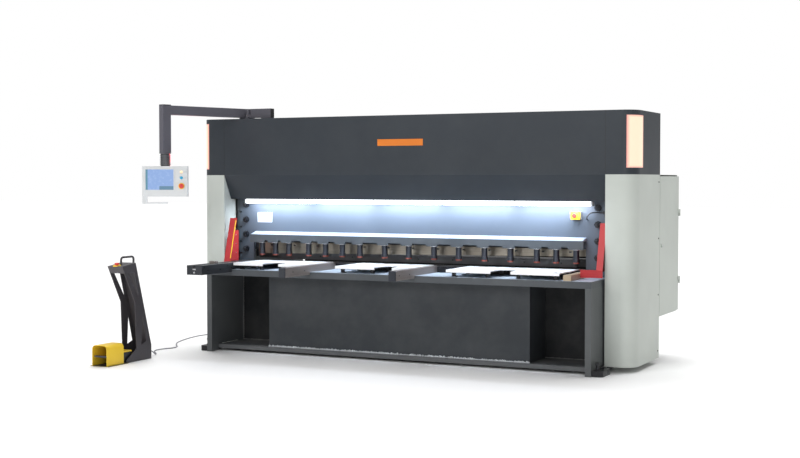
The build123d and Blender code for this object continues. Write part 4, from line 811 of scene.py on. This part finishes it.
def make_cabinet_inside():
    """Mounting plate in the cabinet, with ducts, rails, breakers, contactors and terminals."""
    back, near, far = 1.7725, 0.2, 0.74
    face = back + 0.003

    def bank(count, start, pitch, width, depths, heights, bevel=0.001):
        """Equal blocks along the plate; depths are from its face, start is from its edge."""
        return [((face + depths[0], near + start + pitch * i, heights[0]),
                 (face + depths[1], near + start + pitch * i + width, heights[1]), bevel)
                for i in range(count)]

    box_piece("mounting_plate", [((back, near, 0.66), (face, far, 1.5), 0.001)], ZINC)
    duct_levels = (1.455, 1.24, 1.0, 0.675)
    ducts = [((face, near + 0.01, z), (face + 0.045, far - 0.01, z + 0.032), 0.001)
             for z in duct_levels]
    ducts += [((face + 0.002, y, z), (face + 0.043, y + 0.006, z + 0.004), 0.0)
              for y in row(near + 0.02, far - 0.022, 40)
              for duct in duct_levels for z in (duct - 0.004, duct + 0.032)]
    box_piece("wiring_ducts", ducts, TAG_GREY)
    rails = [((face, near + 0.02, z - 0.0175), (face + 0.0075, far - 0.02, z + 0.0175), 0.0005)
             for z in (1.36, 1.135, 0.765)]
    box_piece("mounting_rails", rails, CHROME)
    breakers = (bank(14, 0.05, 0.0182, 0.0176, (0.0075, 0.052), (1.318, 1.402))
                + bank(14, 0.05, 0.0182, 0.0176, (0.052, 0.07), (1.338, 1.382)))
    supply = bank(1, 0.24, 0.0, 0.18, (0.0, 0.09), (0.83, 0.96), 0.004)
    terminals = bank(44, 0.04, 0.0104, 0.0094, (0.0075, 0.045), (0.742, 0.788), 0.0)
    box_piece("breakers_and_terminals", breakers + supply + terminals, PANEL_GREY)
    contactors = (bank(6, 0.05, 0.05, 0.045, (0.0075, 0.06), (1.092, 1.178), 0.002)
                  + bank(6, 0.054, 0.05, 0.037, (0.06, 0.085), (1.108, 1.162), 0.002))
    drive = bank(1, 0.03, 0.0, 0.16, (0.0, 0.13), (0.8, 0.985), 0.004)
    box_piece("contactors_and_drive", contactors + drive, CABLE)
    levers = bank(14, 0.054, 0.0182, 0.0096, (0.066, 0.08), (1.356, 1.366))
    box_piece("breaker_levers", levers, BUTTON_BLUE)
    runs = []
    for y in row(near + 0.07, near + 0.31, 9):
        runs += [[(face + 0.04, y, 1.27), (face + 0.05, y + 0.004, 1.295),
                  (face + 0.035, y + 0.002, 1.32)],
                 [(face + 0.04, y, 1.032), (face + 0.052, y + 0.006, 1.06),
                  (face + 0.035, y + 0.003, 1.094)]]
    hoses("cabinet_wires", runs, CABLE, radius=0.0022, bend=0.01)


# ---------------- throat
PRESSER_X = (-1.466, -1.327, -1.187, -0.985, -0.813, -0.645, -0.472, -0.231, -0.001, 0.236,
             0.463, 0.697, 0.927, 1.157, 1.324, 1.493)
PRESSER_Y = -0.413
STUD_Z = (0.85, 0.955, 1.088, 1.222)
MODULES = 5


def make_presser_details():
    """Gland rings round the plungers, and plugs in the finger guard above them."""
    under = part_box("hold_down_cylinders")[0][2]
    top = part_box("finger_guard")[1][2]
    fasteners("gland_rings", grid(PRESSER_X, PRESSER_Y, under, DOWN), ZINC,
              radius=0.034, height=0.006, recess=0.78, depth=0.7, sides=24)
    fasteners("guard_plugs", grid(PRESSER_X, PRESSER_Y, top, UP), BLACK,
              radius=0.012, height=0.006, recess=0.6, sides=6)


def make_blade_screws():
    """Socket screws in the upper blade's holes."""
    spots = grid(row(-1.4235, 1.4085, 13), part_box("upper_blade")[0][1] + 0.0012, 0.925, FRONT)
    fasteners("upper_blade_screws", spots, BLACK, "cutting_beam", radius=0.0076, height=0.004,
              recess=0.5, sides=12)


def make_beam_details():
    """Small screws beside the clamp studs, and rivets in the blank label plate."""
    spots = grid((-1.72, 1.72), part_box("hold_down_beam")[0][1], STUD_Z, FRONT)
    fasteners("beam_edge_screws", spots, BLACK, radius=0.008, height=0.014, recess=0.55)
    low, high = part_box("label_plate")
    inset = 0.007
    corners = grid((low[0] + inset, high[0] - inset), low[1],
                   (low[2] + inset, high[2] - inset), FRONT)
    fasteners("plate_rivets", corners, ZINC, radius=0.0028, height=0.0012, recess=0.4)


def make_light_bar_clips():
    """Clips between the light bar's five modules, and caps on its ends."""
    low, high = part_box("light_bar")
    clips = [((x - 0.004, low[1] - 0.001, low[2] - 0.001),
              (x + 0.004, high[1] + 0.001, high[2] - 0.001), 0.0005)
             for x in row(low[0], high[0], MODULES + 1)[1:-1]]
    clips += [((x, low[1] - 0.002, low[2] - 0.002),
               (x + 0.012, high[1] + 0.001, high[2] - 0.001), 0.001)
              for x in (low[0] - 0.012, high[0])]
    box_piece("light_bar_clips", clips, LABEL)


def make_ledge_strip():
    """Strip on the finger guard that slopes down from the beam; its pale paint is a painted
    highlight.
    """
    low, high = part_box("finger_guard")
    rise, lip, front = 0.026, 0.002, low[1] + 0.001
    profile = ((front, 0.0), (high[1], 0.0), (high[1], rise), (front, lip))
    shape = bmesh.new()
    rings = [[shape.verts.new((x, y, high[2] + z)) for y, z in profile]
             for x in row(low[0] + 0.004, high[0] - 0.004, 9)]
    for left, right in zip(rings, rings[1:]):
        for i in range(len(profile)):
            shape.faces.new((left[i], right[i], right[i - 1], left[i - 1]))
    shape.faces.new(rings[0])
    shape.faces.new(rings[-1])
    mesh_piece("ledge_strip", shape, LEDGE_HIGHLIGHT_GREY)


def make_stop_box_details():
    """Grey rear half of the stop box, and its lid screws."""
    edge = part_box("hold_down_beam")[0][1]
    base = ((1.4436, edge - 0.026, 1.1936), (1.5214, edge, 1.2574), 0.0015)
    box_piece("stop_box_base", [base], PANEL_GREY)
    corners = grid((1.452, 1.513), edge - 0.052, (1.202, 1.249), FRONT)
    fasteners("stop_box_screws", corners, BLACK, radius=0.0034, height=0.0012,
              recess=0.5)


def make_guard_edge():
    """Yellow edging on the left guard, along its inner fold, and screws in its wing."""
    bottom, top = Vector((-1.6735, -0.6195, 0.81)), Vector((-1.6735, -0.5262, 1.15))
    edging = ((-0.004, -0.004, 0), (0.003, 0.001, (top - bottom).length), 0.001)
    box_piece("guard_edging", [edging], YELLOW, matrix=facing(bottom, top - bottom))
    spots = grid(-1.672, -0.53, (0.86, 0.94, 1.02), RIGHT)
    fasteners("guard_screws", spots, ZINC, radius=0.005, height=0.003)


# ---------------- table
PLATE_SCREWS_X = (-1.44, -0.825, -0.43, 0.155, 0.591, 1.45)


def make_plate_fixings():
    """Screws in the sheet plates, and the feet of the posts below them."""
    low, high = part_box("sheet_plates")
    rows = (low[1] + 0.07, -0.6, -0.38)
    fasteners("plate_screws", grid(PLATE_SCREWS_X, rows, high[2], UP), ZINC, radius=0.007,
              height=0.0014, recess=0.55, sides=12)
    fasteners("post_feet", grid(PLATE_SCREWS_X, rows, TABLE_TOP_Z, UP), BLACK, radius=0.022,
              height=0.006, recess=0.7, depth=0.1)


def make_arm_details():
    """Screws in the arms' sides, and on the squaring arm's nose a dark patch in the slot's end,
    painted shade of the slot, and a screw.
    """
    low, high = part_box("squaring_arm")
    side = (grid(high[0], (-1.226, -1.045, -0.867), 0.744, RIGHT)
            + grid(high[0], (-1.28, -0.93), 0.772, RIGHT))
    fasteners("arm_side_screws", side, BLACK, radius=0.0075, height=0.002, recess=0.7)
    middle, nose, crown = (low[0] + high[0]) / 2, low[1], high[2] - 0.008
    # Dark T-shaped patch in the slot's mouth: painted shade of the slot's inside.
    slot = [((middle - half, nose - 0.0008, crown - bottom),
             (middle + half, nose + 0.001, crown - top), 0.0)
            for half, bottom, top in ((0.011, 0.016, 0.0), (0.021, 0.034, 0.016))]
    box_piece("arm_slot_shade", slot, CABLE)
    nut = bmesh.new()
    add_box(nut, (middle - 0.017, nose - 0.002, crown - 0.031),
            (middle + 0.017, nose, crown - 0.019), 0.0008)
    add_round(nut, ((0.0, 0.0), (0.0085, 0.0), (0.0085, 0.003), (0.004, 0.003), (0.004, 0.001),
                    (0.0, 0.001)), facing((middle, nose, crown - 0.052), FRONT), 24)
    mesh_piece("arm_end_screw", nut, ZINC)
    for name, x in (("arm_holes_left", -0.715), ("arm_holes_right", 0.265)):
        fasteners(name, grid(x, (-1.14, -0.95), 0.75, RIGHT), BLACK,
                  radius=0.005, height=0.0015, recess=0.7)


def make_scale():
    """Scale along the squaring arm, with longer marks at each fifth and tenth step."""
    low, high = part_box("squaring_arm")
    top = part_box("sheet_plates")[1][2]
    x, step = high[0] - 0.02, 0.01
    strip = ((x, low[1] + 0.03, top), (x + 0.012, high[1] - 0.02, top + 0.0008), 0.0)
    box_piece("scale_strip", [strip], LABEL)
    marks = []
    for i in range(int((high[1] - low[1] - 0.06) / step)):
        length = 0.010 if i % 10 == 0 else 0.0075 if i % 5 == 0 else 0.005
        y = low[1] + 0.035 + step * i
        marks.append(((x + 0.0005, y, top + 0.0005),
                      (x + 0.0005 + length, y + 0.0012, top + 0.0011), 0.0))
    box_piece("scale_marks", marks, BLACK)


def make_welds():
    """Weld beads in the recesses and on the feet, and sealant along the apron's foot."""
    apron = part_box("apron")[0][1] - 0.003
    floor = 0.057
    beads("apron_sealant", [[(-1.205, apron, floor + 0.003), (1.205, apron, floor + 0.003)]],
          SEALANT, radius=0.009, pitch=0.009, unevenness=0.6)
    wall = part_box("recess_plates")[1][1] - 0.02
    upright = [[(x, wall - 0.004, floor), (x, wall - 0.004, 0.67)] for x in (-1.707, 1.707)]
    level_runs = [[(side * 1.215, wall - 0.002, floor + 0.002),
                   (side * 1.7, wall - 0.002, floor + 0.002)] for side in (-1, 1)]
    beads("recess_welds", upright + level_runs, WELD, radius=0.005, pitch=0.006,
          unevenness=0.35)
    feet = [[(x, -0.84, 0.047), (x, -0.63, 0.047)] for x in (-1.7645, 1.7645)]
    beads("foot_welds", feet, WELD, radius=0.004, pitch=0.005)


# ---------------- pendant panel
ARM_REACH = 0.882
ARM_HEADING = math.radians(250.3)
PANEL_HEADING = math.radians(32.0)
PANEL_FACE = -0.042
BUTTON_X = 0.138
BUTTONS_Z = (1.58, 1.53)
STOP_Z = 1.46


def panel_matrix():
    """Local frame of the panel: X along its width, Y into it, Z up, origin on the column."""
    turned = Matrix.Rotation(PANEL_HEADING, 4, "Z")
    return Matrix.Translation((POST_X + ARM_REACH * math.cos(ARM_HEADING),
                               POST_Y + ARM_REACH * math.sin(ARM_HEADING), 0)) @ turned


def make_panel_details():
    """Bezel, button rings, the stop's collar, blank tags, screws and vents on the panel."""
    panel = panel_matrix()
    left, right, low, high, rim = -0.165, 0.071, 1.428, 1.602, 0.009
    bezel = [((a, PANEL_FACE - 0.003, c), (b, PANEL_FACE + 0.001, d), 0.0008)
             for a, b, c, d in ((left - rim, right + rim, high, high + rim),
                                (left - rim, right + rim, low - rim, low),
                                (left - rim, left, low, high), (right, right + rim, low, high))]
    box_piece("screen_bezel", bezel, PANEL_WHITE, "panel", panel)
    spots = [panel @ facing((BUTTON_X, PANEL_FACE, z), FRONT) for z in BUTTONS_Z]
    round_piece("button_rings", collar(0.0145, 0.0175, 0.0165, 0.003), spots, ZINC, 32, "panel")
    spot = panel @ facing((BUTTON_X, PANEL_FACE, STOP_Z), FRONT)
    round_piece("panel_stop_collar", collar(0.0125, 0.027, 0.026, 0.003), [spot], YELLOW, 40,
                "panel")
    tags = [((0.162, PANEL_FACE - 0.0008, z - 0.007), (0.182, PANEL_FACE + 0.0005, z + 0.007),
             0.0003) for z in BUTTONS_Z]
    box_piece("button_tags", tags, TAG_GREY, "panel", panel)
    normal = panel.to_3x3() @ Vector(FRONT)
    spots = [(panel @ Vector((x, PANEL_FACE, z)), normal) for x in (-0.183, 0.183)
             for z in (1.382, 1.618)]
    fasteners("panel_screws", spots, ZINC, "panel", radius=0.004, height=0.0015)
    vents = [((-0.12, 0.03, z), (0.12, 0.032, z + 0.006), 0.0006) for z in row(1.44, 1.536, 7)]
    box_piece("panel_vents", vents, BLACK, "panel", panel)


# ---------------- pedal station
def make_station_details():
    """Wide collar under the station's stop, ribs on the treadle and a mat in the switch."""
    low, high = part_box("station_stop_button")
    lean = math.atan2(0.023, 0.181)
    seat = facing(((low[0] + high[0]) / 2, -1.8195, 0.8035),
                  (0, -math.sin(lean), math.cos(lean)))
    round_piece("station_stop_collar", collar(0.0245, 0.034, 0.032, 0.006), [seat], YELLOW, 40)
    low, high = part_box("treadle")
    hinge, front = Vector((0, -1.866, 0.057)), Vector((0, -2.032, 0.084))
    way = (front - hinge).normalized()
    turned = Matrix((RIGHT, way, (0, way.z, -way.y))).transposed().to_4x4()
    ribs = bmesh.new()
    for i in range(9):
        add_box(ribs, (low[0] + 0.008, -0.003, -0.001), (high[0] - 0.008, 0.003, 0.003), 0.0008,
                Matrix.Translation(hinge + way * (0.022 + 0.016 * i)) @ turned)
    mesh_piece("treadle_ribs", ribs, CABLE, "treadle")
    low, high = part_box("foot_switch")
    mat = ((low[0] + 0.012, low[1] + 0.006, 0.003), (high[0] - 0.012, low[1] + 0.33, 0.0045),
           0.0005)
    box_piece("pedal_mat", [mat], CABLE)


def make_cord_ends():
    """Ribbed sleeves over the pedal cord at both glands; they stay with the machine."""
    rings = []
    for i in range(6):
        step, crest = 0.0035 * i, 0.0078 - 0.0003 * i
        rings += [(crest, step), (crest, step + 0.002), (0.0063, step + 0.002),
                  (0.0063, step + 0.0035)]
    rings += [(0.0051, rings[-1][1]), (0.0051, rings[0][1]), rings[0]]
    for name, place, way in (("cord_sleeve_station", CORD_POINTS[0], BACK),
                             ("cord_sleeve_frame", CORD_POINTS[-1], LEFT)):
        spot = facing(Vector(place) - Vector(way) * 0.004, way, UP)
        round_piece(name, rings, [spot], CABLE, 24)


# ---------------- behind the covers
TANK_TOP_Z = 1.83


def make_hydraulics():
    """Hoses from the power pack to the two rams, and their unions."""
    routes = []
    for side in (-1, 1):
        routes += [[(side * x, y, TANK_TOP_Z + z) for x, y, z in route] for route in (
            ((0.35, 0.02, 0.0), (0.35, 0.02, 0.1), (1.1, -0.06, 0.13), (1.4, -0.14, 0.13),
             (1.4, -0.2, 0.06), (1.4, -0.2, 0.03)),
            ((0.42, 0.03, 0.0), (0.42, 0.03, 0.06), (1.2, 0.05, -0.02), (1.4, 0.02, -0.21),
             (1.4, -0.1, -0.21)))]
    hoses("oil_hoses", routes, CABLE, radius=0.011, bend=0.08)
    unions = [((side * x, y, TANK_TOP_Z), UP) for side in (-1, 1)
              for x, y in ((0.35, 0.02), (0.42, 0.03))]
    fasteners("hose_unions", unions, ZINC, radius=0.019, height=0.022, recess=0.6,
              sides=6)


def make_backgauge_details():
    """Socket screws along the face of the back gauge."""
    spots = grid(row(-1.3, 1.3, 9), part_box("backgauge_beam")[0][1], 0.8275, FRONT)
    fasteners("gauge_face_screws", spots, BLACK, "backgauge", radius=0.007, height=0.002,
              recess=0.6)


def make_rear_shade_panel():
    """Folded dark cross panel between the side frames behind the back gauge, above the sheet drop;
    a dark sheet put in to show the shade seen through the gap there.
    """
    half, near, far, low, high = 1.6885, 0.728, 0.732, 0.665, 0.852
    panel = [((-half, near, low), (half, far, high), 0.001)]
    panel += [((-half, far - 0.001, z), (half, far + 0.022, z + 0.003), 0.001)
              for z in (low, high - 0.003)]
    # Dark sheet in the painted-shade paint of the recesses.
    box_piece("rear_shade_panel", panel, RECESS_SHADE_GREY)
    spots = grid(row(-1.6, 1.6, 5), far, (low + 0.04, high - 0.04), BACK)
    fasteners("rear_shade_panel_screws", spots, ZINC, radius=0.006, height=0.003, recess=0.6)


def make_hood_details():
    """Plain blank badge on the hood, and the seams between its front and its ends."""
    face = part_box("hood_front")[0][1]
    badge = ((-0.225, face - 0.003, 1.80), (0.2, face + 0.001, 1.856), 0.001)
    box_piece("blank_badge", [badge], BADGE)
    low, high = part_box("hood_ends")
    joint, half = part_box("hood_front")[1][0], 0.0016
    seams = []
    for x in (-joint, joint):
        seams += [((x - half, face - 0.0005, low[2] + 0.004),
                   (x + half, face + 0.001, high[2] - 0.003), 0.0),
                  ((x - half, face + 0.01, high[2] - 0.001),
                   (x + half, high[1] - 0.01, high[2] + 0.0005), 0.0)]
    box_piece("hood_seams", seams, CABLE)


for make in (make_cover_fixings, make_mast_fixings, make_rear_louvres, make_door_details,
             make_cabinet_inside, make_presser_details, make_blade_screws, make_beam_details,
             make_light_bar_clips, make_ledge_strip, make_stop_box_details, make_guard_edge,
             make_plate_fixings, make_arm_details, make_scale, make_welds, make_panel_details,
             make_station_details, make_cord_ends, make_hydraulics, make_backgauge_details,
             make_rear_shade_panel, make_hood_details):
    make()


# ---------------- studio
WORLD_STRENGTH = 0.35
SUN_POWER = 3.1
SUN_SPREAD = math.radians(60)
SUN_WAY = (0.08, -0.55, -1.0)
FRONT_POWER = 165.0
LOW_POWER = 60.0
TABLE_POWER = 8.0
GLOW_POWER = 1.6
MODULE_POWER = 4.6
THROAT_POWER = 4.0
WHITE = (1.0, 1.0, 1.0)
FLOOR_HALF = 60.0


def add_light(data, way, place=(0, 0, 0)):
    """Put a light in the scene, shining along a way."""
    lamp = bpy.data.objects.new(data.name, data)
    lamp.location = place
    lamp.rotation_euler = Vector(way).to_track_quat("-Z", "Y").to_euler()
    scene.collection.objects.link(lamp)
    return lamp


def add_area(name, place, way, size, power, tint=WHITE, spread=180):
    """Add a rectangular light, with its spread in degrees."""
    data = bpy.data.lights.new(name, "AREA")
    data.shape = "RECTANGLE"
    data.size, data.size_y = size
    data.energy = power
    data.color = tint
    data.spread = math.radians(spread)
    return add_light(data, way, place)


def make_studio():
    """Pale floor, even white surroundings and large soft lights."""
    shape = bmesh.new()
    bmesh.ops.create_grid(shape, x_segments=1, y_segments=1, size=FLOOR_HALF)
    data = bpy.data.meshes.new("floor")
    shape.to_mesh(data)
    shape.free()
    floor = bpy.data.objects.new("floor", data)
    scene.collection.objects.link(floor)
    material, tree, shader = blank("studio_floor", Roughness=0.6)
    drift = use(tree, GRAIN, Size=0.01, Drift_Size=3.0)["Drift"]
    tree.links.new(mixed(tree, drift, tinted(WHITE, 0.95), tinted(WHITE, 0.97)),
                   shader["Base Color"])
    data.materials.append(material)
    world = bpy.data.worlds.new("studio")
    world.use_nodes = True
    sky = world.node_tree
    seen = node(sky, "ShaderNodeLightPath").outputs["Is Camera Ray"]
    backdrop = sky.nodes["Background"].inputs
    backdrop["Color"].default_value = rgba(WHITE)
    sky.links.new(ranged(sky, seen, WORLD_STRENGTH, 1.0), backdrop["Strength"])
    scene.world = world
    sun = bpy.data.lights.new("overhead_sun", "SUN")
    sun.energy = SUN_POWER
    sun.angle = SUN_SPREAD
    add_light(sun, SUN_WAY)
    add_area("front_softbox", (-1.6, -8.0, 4.2), (1.6, 8.0, -3.4), (5.0, 2.5), FRONT_POWER)
    add_area("low_softbox", (3.6, -7.5, 0.9), (-1.7, 7.0, -0.6), (2.4, 1.0), LOW_POWER)


def make_bar_lights():
    """Light of the modules under the hood, what it leaves below, and the left lamp's glow."""
    low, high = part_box("light_bar")
    pitch = (high[0] - low[0]) / MODULES
    lights = [(f"module_light_{i + 1}", (low[0] + pitch * (i + 0.5), low[1] - 0.03,
                                         low[2] - 0.004), (0, 0.65, -1),
               (pitch - 0.06, 0.045), MODULE_POWER, (0.8, 0.88, 1.0)) for i in range(MODULES)]
    lights += [("throat_light", (0.0, low[1] - 0.2, low[2] - 0.02), (0, 1.0, -0.75),
                (high[0] - low[0] - 0.25, 0.05), THROAT_POWER, (0.4, 0.67, 1.0), 120),
               ("table_light", (0.0, -1.3, 2.2), (0, 0.52, -1), (3.3, 0.12), TABLE_POWER,
                (0.9, 0.95, 1.0), 46),
               ("lamp_glow", (-1.8, -0.66, 1.82), (-0.12, -1.0, 0.22), (0.05, 0.3), GLOW_POWER,
                (1.0, 0.03, 0.05), 50)]
    for light in lights:
        add_area(*light).visible_camera = False


make_studio()
make_bar_lights()
scene.view_settings.view_transform = "Standard"
